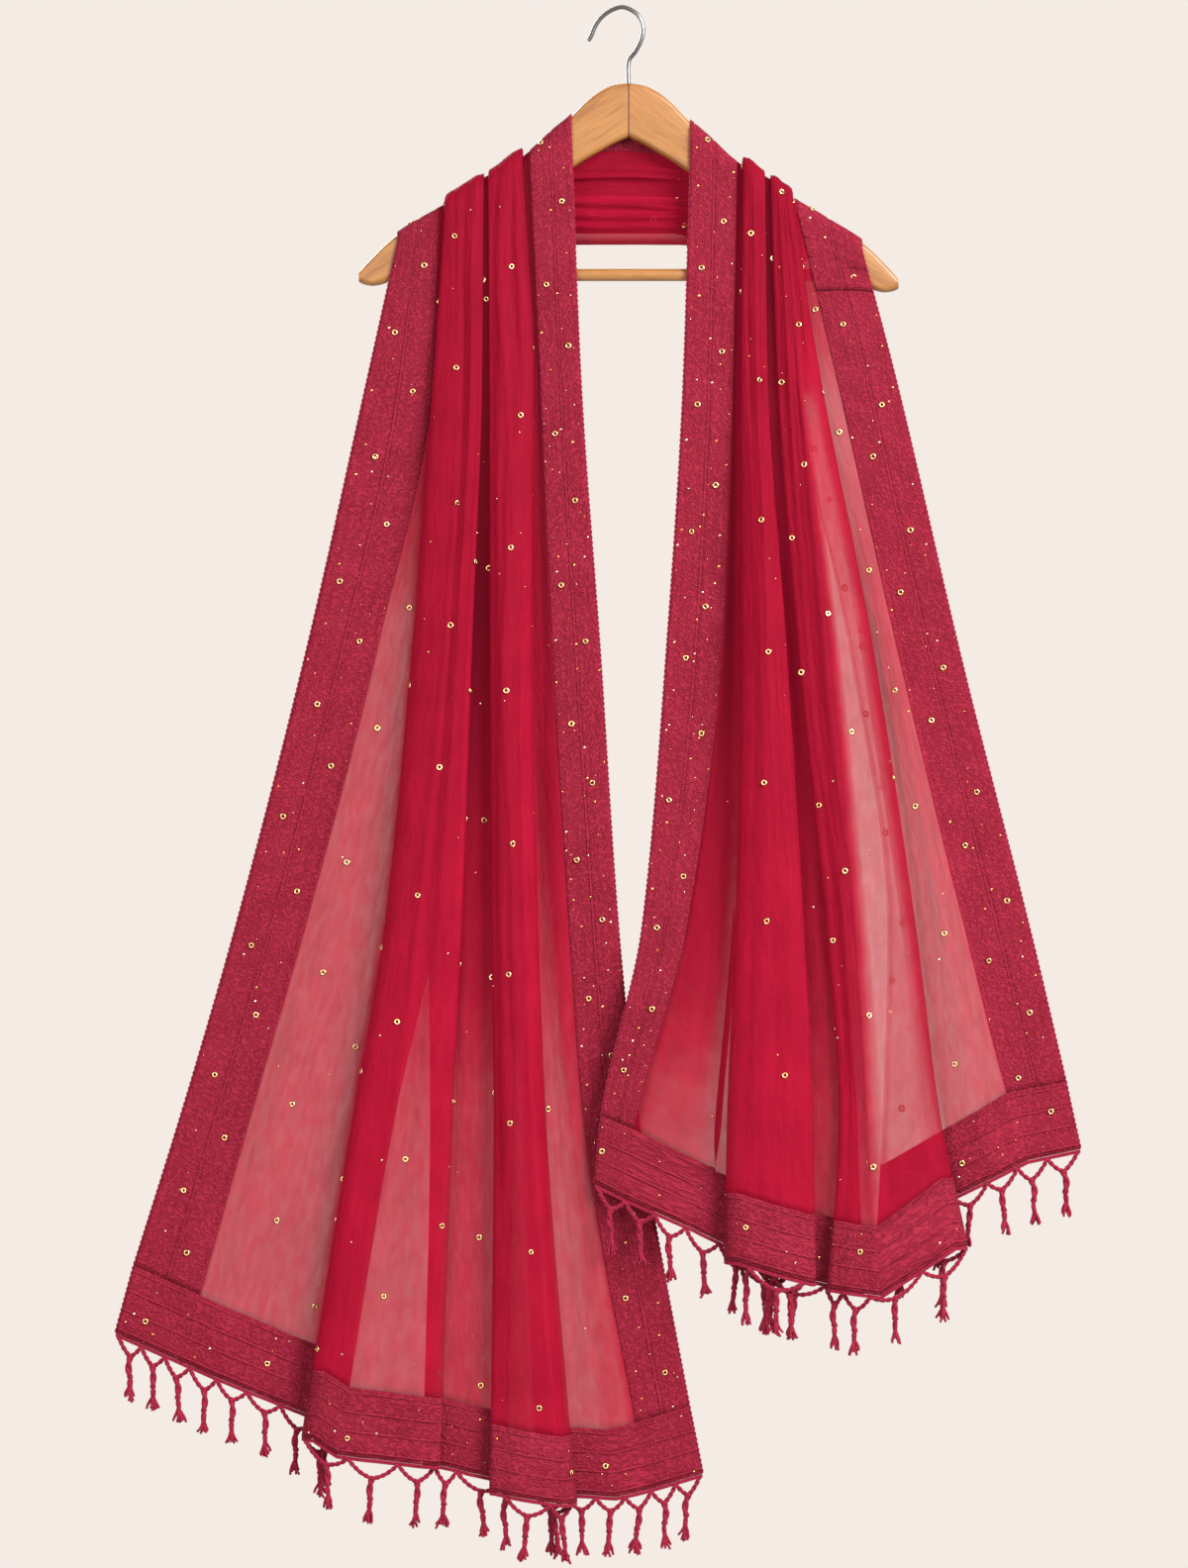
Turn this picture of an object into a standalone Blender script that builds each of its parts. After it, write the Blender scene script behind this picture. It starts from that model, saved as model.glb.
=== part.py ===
"""Dupatta stole hung over a wooden clothes hanger.

Metres, +Z up, front towards -Y. The origin is inside the crown of the hanger's hook.
The cloth is one length: it comes up the front on the left, over the left arm, behind the hanger, over the
right arm and down the front again. Its lines run along that length, numbered from the outer edge to the inner.
"""
import math
import random
from typing import NamedTuple

import bmesh
import bpy
from mathutils import Vector

MM = 0.001
SEAM_GAP = 0.35 * MM

# Hanger
HANGER_CENTRE = 5.7 * MM
HANGER_TILT = 0.0128
WOOD_THICKNESS = 12.0 * MM
WOOD_ROUNDING = 5.0 * MM
ROUNDING_SHARE = 0.45
CORNER_STEPS = 2
ROD_SIDES = 16
BAR_RADIUS = 5.0 * MM
BAR_Z = -216.5 * MM
BAR_REACH = 196.0 * MM
WIRE_RADIUS = 1.75 * MM
# From the middle outwards: distance, top edge, bottom edge.
WOOD_PROFILE = [
    (0.15, -59.3, -103.6),
    (12.0, -61.0, -109.0),
    (24.0, -66.5, -116.0),
    (36.0, -76.0, -123.0),
    (48.0, -88.5, -131.0),
    (66.0, -104.0, -141.5),
    (84.0, -121.0, -151.0),
    (117.0, -143.7, -170.0),
    (144.0, -159.0, -186.0),
    (170.0, -174.0, -203.0),
    (188.0, -185.0, -218.0),
    (200.0, -195.0, -226.0),
    (210.0, -205.0, -228.0),
    (217.0, -212.5, -227.0),
    (221.0, -217.5, -225.0),
]
HOOK_SHANK_TOP = -42.0 * MM
HOOK_SHANK_FOOT = -80.0 * MM
PATH_STEPS = 2
HOOK_BEND = [(11.5, -33.0), (16.2, -23.5), (17.5, -14.0), (14.0, -4.0), (6.5, 1.6), (-0.8, 3.2),
             (-9.7, 0.0), (-17.0, -5.7), (-22.0, -13.0), (-25.0, -20.5), (-27.6, -24.4)]

# Cloth
WALL = 1.0 * MM
BORDER_WALL = 1.3 * MM
NEAREST_LAYER = 7.95 * MM
LAYER_STEP_TOP = 1.7 * MM
LAYER_STEP_LOW = 6.6 * MM
BAND_HEIGHT = 55.0 * MM
PANEL_SWELL = 3.0 * MM
PANEL_SWELL_SHARE = 0.6
FOLD_SWELL = 4.0 * MM
CREASE_HEIGHT = 5.0 * MM
LEVELS = (-300.0, -525.0, -750.0, -900.0)
RIGHT_LEAN = 17.0 * MM
LEAST_BEND = 0.75
# How far below the hook these start and end to show, in metres.
LAYERS_SPREAD = (0.2, 0.62)
LEAN_SPAN = (0.52, 0.86)
SWELL_SPAN = (0.2, 0.5)
CREASE_SPAN = (0.6, 0.9)

# The lines along the cloth, from the outer edge to the inner one.
(EDGE, SEAM, TUCK, FOLD_A, RIDGE_A, TURN_A, UNDER_A, UNDER_B, FOLD_B, TURN_B, TUCK_B, CREASE, INNER_SEAM,
 INNER_EDGE) = range(14)
# The layer of the run that starts at each line: 1 is the front one, and the innermost lies on the wood.
RUN_LAYERS = (5, 5, 4, 1, 1, 2, 3, 2, 1, 4, 5, 5, 5)
INNERMOST = 5.0
# Lines at which the cloth turns back, and on which side of the fold, as seen on the left fall.
TURN_SIDES = {TUCK: 1, FOLD_A: -1, TURN_A: 1, UNDER_A: -1, UNDER_B: 1, FOLD_B: -1, TURN_B: 1, TUCK_B: -1}

# Across: x over the hanger's arm, x at each of LEVELS, x at the hem, then the height of the hem.
LEFT_LINES = [
    (-183, -207, -257, -314, -357, -414, -1083),
    (-150, -154, -200, -258, -301, -359, -1107),
    (-116, -112, -119, -150, -184, -228, -1160),
    (-145, -154, -171, -193, -218, -260, -1165),
    (-135, -132, -144, -166, -184, -231, -1177),
    (-113, -114, -122, -130, -137, -148, -1187),
    (-138, -143, -155, -157, -156, -162, -1186),
    (-88, -81, -81, -83, -88, -93, -1201),
    (-109, -108, -107, -106, -104, -107, -1208),
    (-81, -72, -73, -68, -62, -37, -1218),
    (-101, -98, -98, -92, -82, -70, -1212),
    (-78, -69, -64, -55, -42, -5, -1216),
    (-75, -67, -57, -43, -32, 22, -1211),
    (-42, -34, -18, -3, 13, 66, -1198),
]
RIGHT_LINES = [
    (196, 223, 275, 330, 365, 373, -931),
    (143, 175, 225, 278, 316, 330, -940),
    (128, 140, 186, 216, 212, 207, -998),
    (140, 162, 205, 238, 257, 279, -1007),
    (133, 144, 170, 188, 198, 208, -1046),
    (122, 127, 143, 165, 175, 166, -1041),
    (130, 139, 161, 180, 190, 195, -1045),
    (103, 104, 106, 101, 96, 96, -1022),
    (117, 119, 134, 147, 154, 156, -1036),
    (99, 97, 97, 92, 85, 83, -1019),
    (110, 112, 127, 134, 138, 136, -1032),
    (97, 93, 91, 80, 65, 58, -995),
    (94, 91, 82, 53, 13, 0, -970),
    (57, 51, 37, 17, -16, -22, -959),
]

# Parts of each run and turn across the cloth, and the rows along it
TURN_PARTS = 3
RUN_PARTS = (3, 5, 1, 2, 2, 1, 2, 1, 3, 1, 2, 1, 3)
WRAP_ANGLES = [math.pi * k / 6 for k in range(6, 0, -1)]
FALL_STEPS = (0.0, 0.06, 0.17, 0.32, 0.47, 0.62, 0.76, 0.88, 1.0)
BORDER_JOIN = 3
BAND_PARTS = 2

# Behind the hanger
BACK_STEPS = (0.0, 0.08, 0.15, 0.21, 0.27, 0.34, 0.42, 0.5, 0.58, 0.66, 0.73, 0.79, 0.85, 0.92, 1.0)
NECK_LIFT = 9.0 * MM
NECK_LIFT_FROM = -180.0 * MM
NECK_LIFT_SPAN = 90.0 * MM
BACK_LAYER_STEP = 2.6 * MM
# The outer border turns up behind the gathers: sizes midway between the arms.
FLAP_BOTTOM = -189.0 * MM
FLAP_ARC = 34.0 * MM
FLAP_HEIGHT = 44.0 * MM
FLAP_SLACK = 0.45
TURNED_GAP = 1.0 * MM
ARC_SHARE = 0.15
ARC_PARTS = 5
FLAP_PARTS = 4
PANEL_STOPS = (0.4, 0.7)
# The shares of the way to the middle over which the border drops, rolls, turns and reaches its height.
FLAP_DROPS = (0.0, 0.8)
FLAP_ROLLS = (0.0, 0.5)
FLAP_TURNS = (0.1, 0.8)
FLAP_REACHES = (0.4, 1.0)

# Fringe: two arms run from the heading to each knot, and a stem hangs from it.
TASSELS = 24
HEADING_FOOT = 3.3 * MM
ROOT_DEPTH = 0.8 * MM
ROOT_INSET = 2.5 * MM
KNOT_DROP = 12.0 * MM
TIP_DROP = 48.0 * MM
STEM_SWAY = 4.0 * MM
ARM_RADIUS = 0.9 * MM
STRAND_SIDES = 3
# Down the stem: drop from the knot as a share of its length, share of the sway, radius.
STEM_RINGS = [
    (-0.044, 0.0, 1.6),
    (0.028, 0.0, 2.4),
    (0.5, 0.5, 1.6),
    (1.0, 1.0, 2.8),
]


def smooth_through(knots, values, at):
    """Hermite curve through the values, with Catmull-Rom slopes; flat runs stay free of overshoot."""
    if at <= knots[0]:
        return values[0]
    if at >= knots[-1]:
        return values[-1]
    slopes = [(values[i + 1] - values[i]) / (knots[i + 1] - knots[i]) for i in range(len(knots) - 1)]
    tangents = [slopes[0]]
    for before, after in zip(slopes, slopes[1:]):
        tangents.append(0.0 if before * after <= 0.0 else 2.0 * before * after / (before + after))
    tangents.append(slopes[-1])
    i = max(k for k in range(len(knots) - 1) if knots[k] <= at)
    width = knots[i + 1] - knots[i]
    f = (at - knots[i]) / width
    return (values[i] * (1 + 2 * f) * (1 - f) ** 2 + tangents[i] * width * f * (1 - f) ** 2
            + values[i + 1] * f * f * (3 - 2 * f) + tangents[i + 1] * width * f * f * (f - 1))


def ease(low, high, at):
    """0 below low, 1 above high, smooth between."""
    f = min(1.0, max(0.0, (at - low) / (high - low)))
    return f * f * (3.0 - 2.0 * f)


def wood_edge(x, column):
    """Height of the arms' top (column 1) or bottom (column 2) edge."""
    distance = abs(x - HANGER_CENTRE)
    knots = [row[0] * MM for row in WOOD_PROFILE]
    heights = [row[column] * MM for row in WOOD_PROFILE]
    return smooth_through(knots, heights, distance) - HANGER_TILT * (x - HANGER_CENTRE)


def wrap_centre(x):
    """Height of the line inside the arm that the cloth turns about."""
    return wood_edge(x, 1) - WOOD_THICKNESS / 2 / wrap_cosine(x)


def wrap_cosine(x):
    """Cosine of the slope of the arm's top edge."""
    step = 4.0 * MM
    rise = (wood_edge(x + step, 1) - wood_edge(x - step, 1)) / (2 * step)
    return 1.0 / math.sqrt(1.0 + rise * rise)


class Stop(NamedTuple):
    """A place across the cloth: a share of the run from a line, or of the half circle about a turn."""

    line: int
    share: float
    turning: bool = False


# Materials and objects

def make_material(name, colour, roughness, metallic=0.0):
    material = bpy.data.materials.new(name)
    material.use_nodes = True
    shader = material.node_tree.nodes["Principled BSDF"]
    shader.inputs["Base Color"].default_value = (*colour, 1.0)
    shader.inputs["Roughness"].default_value = roughness
    shader.inputs["Metallic"].default_value = metallic
    material.diffuse_color = (*colour, 1.0)
    return material


def add_object(name, bm, material, sharp_angle=50.0):
    """Makes a named object of the bmesh, with its faces turned outwards."""
    bmesh.ops.recalc_face_normals(bm, faces=bm.faces)
    mesh = bpy.data.meshes.new(name)
    bm.to_mesh(mesh)
    bm.free()
    mesh.materials.append(material)
    mesh.shade_smooth()
    mesh.set_sharp_from_angle(angle=math.radians(sharp_angle))
    piece = bpy.data.objects.new(name, mesh)
    bpy.context.scene.collection.objects.link(piece)
    return piece


def loft(sections):
    """Closed body through rings with the same number of corners."""
    bm = bmesh.new()
    rings = [[bm.verts.new(point) for point in section] for section in sections]
    for ring, following in zip(rings, rings[1:]):
        for i in range(len(ring)):
            j = (i + 1) % len(ring)
            bm.faces.new((ring[i], ring[j], following[j], following[i]))
    bm.faces.new(rings[0])
    bm.faces.new(rings[-1])
    return bm


def cloth_wall(rows, columns, thickness, gaps=(0.0, 0.0), beyond=(None, None)):
    """Closed wall about some columns of a grid of points: a sheet is extruded, and its two skins moved apart.

    The offsets come from the whole grid and from the rows beyond its ends, so that pieces meet with parallel
    edges.
    """
    joined = [row for row in (beyond[0], *rows, beyond[1]) if row]
    lead = 1 if beyond[0] else 0
    first, last = columns
    down, across = len(rows), last - first + 1
    bm = bmesh.new()
    bmesh.ops.create_grid(bm, x_segments=across - 1, y_segments=down - 1, size=1.0)
    bm.verts.ensure_lookup_table()
    place = bm.verts.layers.int.new("place")
    for index, vert in enumerate(bm.verts):
        vert[place] = index
    skin = bmesh.ops.extrude_face_region(bm, geom=bm.faces[:], use_keep_orig=True)
    lifted = {item for item in skin["geom"] if isinstance(item, bmesh.types.BMVert)}
    offsets = [[wall_offset(joined, row + lead, first + column) for column in range(across)]
               for row in range(down)]
    for vert in bm.verts:
        side = 0.5 if vert in lifted else -0.5
        row, column = divmod(vert[place], across)
        line = rows[row][first:last + 1]
        vert.co = line[column] + offsets[row][column] * (side * thickness)
        if column == 0:
            vert.co += (line[1] - line[0]).normalized() * gaps[0]
        if column == across - 1:
            vert.co += (line[-2] - line[-1]).normalized() * gaps[1]
    return bm


def wall_offset(rows, row, column):
    """Unit normal of the grid at a point, lengthened where the section bends to keep the wall's thickness."""
    point = rows[row][column]
    line = rows[row]
    arms = []
    if column > 0:
        arms.append((point - line[column - 1]).normalized())
    if column < len(line) - 1:
        arms.append((line[column + 1] - point).normalized())
    across = sum(arms, Vector()).normalized()
    above = rows[min(row + 1, len(rows) - 1)][column]
    below = rows[max(row - 1, 0)][column]
    along = (above - below).normalized()
    normal = across.cross(along).normalized()
    if len(arms) == 2:
        bend = max(-1.0, min(1.0, arms[0].dot(arms[1])))
        normal = normal / max(LEAST_BEND, math.sqrt((1.0 + bend) / 2.0))
    return normal


# The hanging cloth

class Fall:
    """One end of the cloth, from the hem up the front and over an arm."""

    def __init__(self, lines, side, lean):
        self.lines = lines
        self.side = side
        self.lean = lean
        self.hem = [row[-1] * MM for row in lines]
        self.top = [wrap_centre(row[0] * MM) for row in lines]

    def line_x(self, line, z):
        """x of a line at a height."""
        row = self.lines[line]
        knots = [-self.top[line]] + [-level * MM for level in LEVELS] + [-self.hem[line]]
        return smooth_through(knots, [value * MM for value in row[:-1]], -z)

    def step(self, z):
        """Distance between two layers at a height."""
        return LAYER_STEP_TOP + (LAYER_STEP_LOW - LAYER_STEP_TOP) * ease(*LAYERS_SPREAD, -z)

    def forward(self, z):
        """How far the fall leans to the front at a height."""
        return self.lean * ease(*LEAN_SPAN, -z)

    def stop_x(self, stop, heights):
        """x and layer of a stop, a place on the section, given each line's height."""
        line = stop.line
        if stop.turning:
            return self.turn_x(line, stop.share, heights[line])
        start = self.run_end(line, heights[line], 1.0)
        end = self.run_end(line + 1, heights[line + 1], 0.0)
        return start + (end - start) * stop.share, float(RUN_LAYERS[line])

    def turn_x(self, line, f, z):
        """x and layer along the half circle of a turn, from f = 0 to 1."""
        before, after = RUN_LAYERS[line - 1], RUN_LAYERS[line]
        radius = abs(after - before) * self.step(z) / 2.0
        side = TURN_SIDES[line] * self.side
        angle = math.pi * f
        x = self.line_x(line, z) - side * radius * (1.0 - math.sin(angle))
        return x, before + (after - before) * (1.0 - math.cos(angle)) / 2.0

    def run_end(self, line, z, share):
        """x where a run meets a line, or the start (share 0) or end (share 1) of its turn."""
        return self.turn_x(line, share, z)[0] if line in TURN_SIDES else self.line_x(line, z)

    def hang(self, stop, down):
        """Point of a stop: down is 0 at the arm and 1 at the hem; past 1 it lies below the hem, in metres."""
        top_x, _ = self.stop_x(stop, self.top)
        hem = self.hem[stop.line]
        if not stop.turning:
            hem += stop.share * (self.hem[stop.line + 1] - hem)
        top = wrap_centre(top_x)
        heights = [t + (h - t) * min(down, 1.0) for t, h in zip(self.top, self.hem)]
        x, layer = self.stop_x(stop, heights)
        z = top + (hem - top) * min(down, 1.0) - max(0.0, down - 1.0)
        depth = NEAREST_LAYER + (INNERMOST - layer) * self.step(z) + self.forward(z)
        return Vector((x, -depth - self.relief(stop, z), z))

    def relief(self, stop, z):
        """Rounding of the runs that face the front, and the crease beside the inner border."""
        if stop.turning:
            return 0.0
        low = ease(*SWELL_SPAN, -z)
        lower = ease(*CREASE_SPAN, -z)
        if stop.line == SEAM:
            return PANEL_SWELL * low * math.sin(math.pi * min(1.0, stop.share / PANEL_SWELL_SHARE))
        if stop.line in (FOLD_A, RIDGE_A):
            return FOLD_SWELL * low * math.sin(math.pi * (stop.share + stop.line - FOLD_A) / 2.0)
        if stop.line == FOLD_B:
            return FOLD_SWELL * low * math.sin(math.pi * stop.share)
        if stop.line == TUCK_B:
            return CREASE_HEIGHT * lower * math.sin(math.pi * stop.share / 2.0)
        if stop.line == CREASE:
            return CREASE_HEIGHT * lower * math.cos(math.pi * stop.share / 2.0)
        return 0.0

    def wrap(self, stop, angle):
        """Point over the arm: angle 0 at the front face and pi at the back."""
        x, layer = self.stop_x(stop, self.top)
        radius = NEAREST_LAYER + (INNERMOST - layer) * LAYER_STEP_TOP
        rise = radius / wrap_cosine(x) * math.sin(angle)
        return Vector((x, -radius * math.cos(angle), wrap_centre(x) + rise))


LEFT = Fall(LEFT_LINES, 1, 0.0)
RIGHT = Fall(RIGHT_LINES, -1, RIGHT_LEAN)


def section_stops():
    """Places across the whole cloth, with each turn's half circle."""
    stops = []
    for line, parts in enumerate(RUN_PARTS):
        if line in TURN_SIDES:
            stops += [Stop(line, k / TURN_PARTS, True) for k in range(TURN_PARTS + 1)]
            stops += [Stop(line, k / parts) for k in range(1, parts)]
        else:
            stops += [Stop(line, k / parts) for k in range(parts)]
    return stops + [Stop(INNER_SEAM, 1.0)]


SECTION = section_stops()
SEAM_COLUMN = SECTION.index(Stop(SEAM, 0.0))
INNER_SEAM_COLUMN = SECTION.index(Stop(INNER_SEAM, 0.0))
OUTER_BORDER = (0, SEAM_COLUMN)
GROUND = (SEAM_COLUMN, INNER_SEAM_COLUMN)
INNER_BORDER = (INNER_SEAM_COLUMN, len(SECTION) - 1)
WHOLE_WIDTH = (0, len(SECTION) - 1)


def band_top(fall, stop):
    """Share of the way down at which the end band starts."""
    top = fall.hang(stop, 0.0).z
    hem = fall.hang(stop, 1.0).z
    return 1.0 - BAND_HEIGHT / (top - hem)


def fall_rows(fall):
    """Rows from behind the arm down to the end band, with gaps to the pieces above and below."""
    rows = [[fall.wrap(stop, angle) for stop in SECTION] for angle in WRAP_ANGLES]
    rows += [[fall.hang(stop, band_top(fall, stop) * step) for stop in SECTION] for step in FALL_STEPS]
    return gap_above(gap_below(rows))


def gap_below(rows):
    """Draws the last row back from what lies below it."""
    rows[-1] = [point + (above - point).normalized() * SEAM_GAP for point, above in zip(rows[-1], rows[-2])]
    return rows


def gap_above(rows):
    """Draws the first row back from what lies above it."""
    rows[0] = [point + (below - point).normalized() * SEAM_GAP for point, below in zip(rows[0], rows[1])]
    return rows


def behind_arm(fall):
    """The row of the back stretch that follows a fall's first one."""
    return [back_point(stop, BACK_STEPS[1] if fall is LEFT else BACK_STEPS[-2]) for stop in SECTION]


def build_fall(fall, label, materials):
    """The sheer ground, the inner border and the end band of one fall."""
    rows = fall_rows(fall)
    beyond = (behind_arm(fall), None)
    add_object(f"{label}_fall_ground", cloth_wall(rows, GROUND, WALL, beyond=beyond), materials["ground"])
    add_object(f"{label}_inner_border",
               cloth_wall(rows, INNER_BORDER, BORDER_WALL, (SEAM_GAP, 0.0), beyond), materials["border"])
    band = [[fall.hang(stop, 1.0 - (1.0 - band_top(fall, stop)) * k / BAND_PARTS) for stop in SECTION]
            for k in range(BAND_PARTS, -1, -1)]
    add_object(f"{label}_end_band", cloth_wall(band, WHOLE_WIDTH, BORDER_WALL), materials["border"])


def build_outer_borders(materials):
    """One length on the left; two on the right, joined a little below the arm."""
    left = fall_rows(LEFT)
    add_object("left_outer_border",
               cloth_wall(left, OUTER_BORDER, BORDER_WALL, (0.0, SEAM_GAP), (behind_arm(LEFT), None)),
               materials["border"])
    right = fall_rows(RIGHT)
    join = len(WRAP_ANGLES) + BORDER_JOIN
    upper, lower = right[:join], gap_above(right[join - 1:])
    lengths = (("right_outer_border_upper", upper, (behind_arm(RIGHT), right[join])),
               ("right_outer_border_lower", lower, (right[join - 2], None)))
    for name, rows, beyond in lengths:
        add_object(name, cloth_wall(rows, OUTER_BORDER, BORDER_WALL, (0.0, SEAM_GAP), beyond),
                   materials["border"])


# Behind the hanger

ARC_END = Stop(SEAM, 0.0)
ARC_START = Stop(SEAM, ARC_SHARE)
TUCK_START = Stop(TUCK, 0.0, True)
BACK_SECTION = [Stop(EDGE, k / FLAP_PARTS) for k in range(FLAP_PARTS)]
BACK_SECTION += [Stop(SEAM, ARC_SHARE * k / ARC_PARTS) for k in range(ARC_PARTS)]
BACK_SECTION += [ARC_START] + [Stop(SEAM, share) for share in PANEL_STOPS]
BACK_SECTION += SECTION[SECTION.index(TUCK_START):]


def across_back(stop, u):
    """Point on the straight line behind the hanger from one arm to the other, lifted a little at the neck."""
    left = LEFT.wrap(stop, math.pi)
    right = RIGHT.wrap(stop, math.pi)
    point = left.lerp(right, u)
    point.z += NECK_LIFT * math.sin(math.pi * u) * ease(0.0, NECK_LIFT_SPAN, point.z - NECK_LIFT_FROM)
    return point


def back_point(stop, u):
    """Point behind the hanger, with u from 0 at the left arm to 1 at the right; the outer border turns up."""
    place = across_back(stop, u)
    middle = math.sin(math.pi * u) ** 2
    _, layer = LEFT.stop_x(stop, LEFT.top)
    step = LAYER_STEP_TOP + (BACK_LAYER_STEP - LAYER_STEP_TOP) * middle
    place.y = NEAREST_LAYER + (INNERMOST - layer) * step
    if stop.line > SEAM:
        return place
    tuck_z = across_back(TUCK_START, u).z
    start_z = across_back(ARC_START, u).z
    end_z = across_back(ARC_END, u).z
    lowest_start = FLAP_BOTTOM + FLAP_ARC / math.pi
    arc_start = start_z + (lowest_start - start_z) * ease(*FLAP_DROPS, middle)
    if stop.line == SEAM and stop.share >= ARC_SHARE:
        down = (1.0 - stop.share) / (1.0 - ARC_SHARE)
        place.z = tuck_z + (arc_start - tuck_z) * down
        return place
    arc = start_z - end_z + (FLAP_ARC - start_z + end_z) * ease(*FLAP_ROLLS, middle)
    turn = math.pi * ease(*FLAP_TURNS, middle)
    radius = arc / max(turn, 0.001)
    angle = arc / radius
    reach = 0.0
    if stop.line == SEAM:
        angle = arc * (1.0 - stop.share / ARC_SHARE) / radius
    else:
        flat = end_z - place.z
        reach = flat + (FLAP_HEIGHT * (1.0 - stop.share) - flat) * ease(*FLAP_REACHES, middle)
        reach *= 1.0 - FLAP_SLACK * math.sin(turn)
    y = place.y + radius * (1.0 - math.cos(angle)) + reach * math.sin(turn)
    z = arc_start - radius * math.sin(angle) - reach * math.cos(turn)
    return Vector((place.x, y, z))


def build_back(materials):
    """The stretch from one arm to the other, in its three strips."""
    rows = [[back_point(stop, u) for stop in BACK_SECTION] for u in BACK_STEPS]
    beyond = tuple([fall.wrap(stop, math.pi * 0.75) for stop in BACK_SECTION] for fall in (LEFT, RIGHT))
    for edge, inward in ((0, 1), (-1, -2)):
        rows[edge] = [point + (other - point).normalized() * 2 * SEAM_GAP
                      for point, other in zip(rows[edge], rows[inward])]
    seam, inner_seam, end = FLAP_PARTS, BACK_SECTION.index(Stop(INNER_SEAM, 0.0)), len(BACK_SECTION) - 1
    for name, columns, wall, gaps, kind in (
            ("back_outer_border", (0, seam), BORDER_WALL, (0.0, TURNED_GAP), "border"),
            ("back_ground", (seam, inner_seam), WALL, (0.0, 0.0), "ground"),
            ("back_inner_border", (inner_seam, end), BORDER_WALL, (SEAM_GAP, 0.0), "border")):
        add_object(name, cloth_wall(rows, columns, wall, gaps, beyond), materials[kind])


# Fringe

def tube(bm, points, radii, turn):
    """A strand of three sides through the points."""
    sides = STRAND_SIDES
    rings = []
    for point, radius in zip(points, radii):
        ring = []
        for k in range(sides):
            angle = turn + 2 * math.pi * k / sides
            ring.append(bm.verts.new(point + Vector((math.cos(angle), math.sin(angle), 0.0)) * radius))
        rings.append(ring)
    for ring, following in zip(rings, rings[1:]):
        for i in range(sides):
            j = (i + 1) % sides
            bm.faces.new((ring[i], ring[j], following[j], following[i]))
    bm.faces.new(rings[0][::-1])
    bm.faces.new(rings[-1])


def hem_roots(fall, count):
    """Points spaced evenly along the folded hem, just under it."""
    points = [fall.hang(stop, 1.0 + HEADING_FOOT - ROOT_DEPTH) for stop in SECTION]
    lengths = [0.0]
    for here, after in zip(points, points[1:]):
        lengths.append(lengths[-1] + (after - here).length)
    roots = []
    for k in range(count):
        want = ROOT_INSET + (lengths[-1] - 2 * ROOT_INSET) * k / (count - 1)
        i = max(j for j in range(len(points) - 1) if lengths[j] <= want)
        f = (want - lengths[i]) / (lengths[i + 1] - lengths[i])
        roots.append(points[i].lerp(points[i + 1], f))
    return roots


def build_fringe(fall, label, material, seed):
    """The heading under one end band, with its knotted strands fused to it."""
    chance = random.Random(seed)
    heading_rows = [[fall.hang(stop, 1.0 + drop) for stop in SECTION] for drop in (SEAM_GAP, HEADING_FOOT)]
    heading = add_object(f"{label}_fringe", cloth_wall(heading_rows, WHOLE_WIDTH, BORDER_WALL), material)
    bm = bmesh.new()
    roots = hem_roots(fall, TASSELS + 1)
    for first, second in zip(roots, roots[1:]):
        knot = first.lerp(second, 0.5) + Vector((0.0, 0.0, -KNOT_DROP))
        sway = Vector((chance.uniform(-STEM_SWAY, STEM_SWAY), 0.0, 0.0))
        for root in (first, second):
            tube(bm, (root, knot), (ARM_RADIUS, ARM_RADIUS), math.pi / 2)
        hang = Vector((0.0, 0.0, KNOT_DROP - TIP_DROP))
        stem = [knot + hang * drop + sway * swing for drop, swing, _ in STEM_RINGS]
        tube(bm, stem, [radius * MM for _, _, radius in STEM_RINGS], math.pi / 6)
    strands = add_object(f"{label}_strands", bm, material)
    strands.hide_render = True
    strands.display_type = "WIRE"
    union = heading.modifiers.new("roots", "BOOLEAN")
    union.operation = "UNION"
    union.solver = "EXACT"
    union.use_self = True
    union.object = strands
    heading.data.materials.clear()
    heading.data.materials.append(material)


# Hanger

def wood_section(distance, top, bottom, side):
    """Rounded rectangle across the arm at a distance from the middle."""
    x = HANGER_CENTRE + side * distance * MM
    tilt = -HANGER_TILT * (x - HANGER_CENTRE)
    high, low, half = top * MM + tilt, bottom * MM + tilt, WOOD_THICKNESS / 2
    rounding = min(WOOD_ROUNDING, (high - low) * ROUNDING_SHARE)
    ring = []
    for corner_y, corner_z, start in ((1, high, 0), (-1, high, 90), (-1, low, 180), (1, low, 270)):
        centre_y = corner_y * (half - rounding)
        centre_z = corner_z - rounding if corner_z == high else corner_z + rounding
        for k in range(CORNER_STEPS + 1):
            angle = math.radians(start + 90 * k / CORNER_STEPS)
            y = centre_y + rounding * math.cos(angle)
            z = centre_z + rounding * math.sin(angle)
            ring.append(Vector((x, y, z)))
    return ring


def rod(radius, start, end):
    """Closed cylinder from start to end."""
    bm = bmesh.new()
    run = end - start
    turn = run.to_track_quat("Z", "Y").to_matrix().to_4x4()
    turn.translation = (start + end) / 2
    bmesh.ops.create_cone(bm, cap_ends=True, segments=ROD_SIDES, radius1=radius, radius2=radius,
                          depth=run.length, matrix=turn)
    return bm


def cutter(name, radius, start, end, material):
    """Guide cylinder for a bore."""
    guide = add_object(name, rod(radius, start, end), material)
    guide.hide_render = True
    guide.display_type = "WIRE"
    return guide


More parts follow.
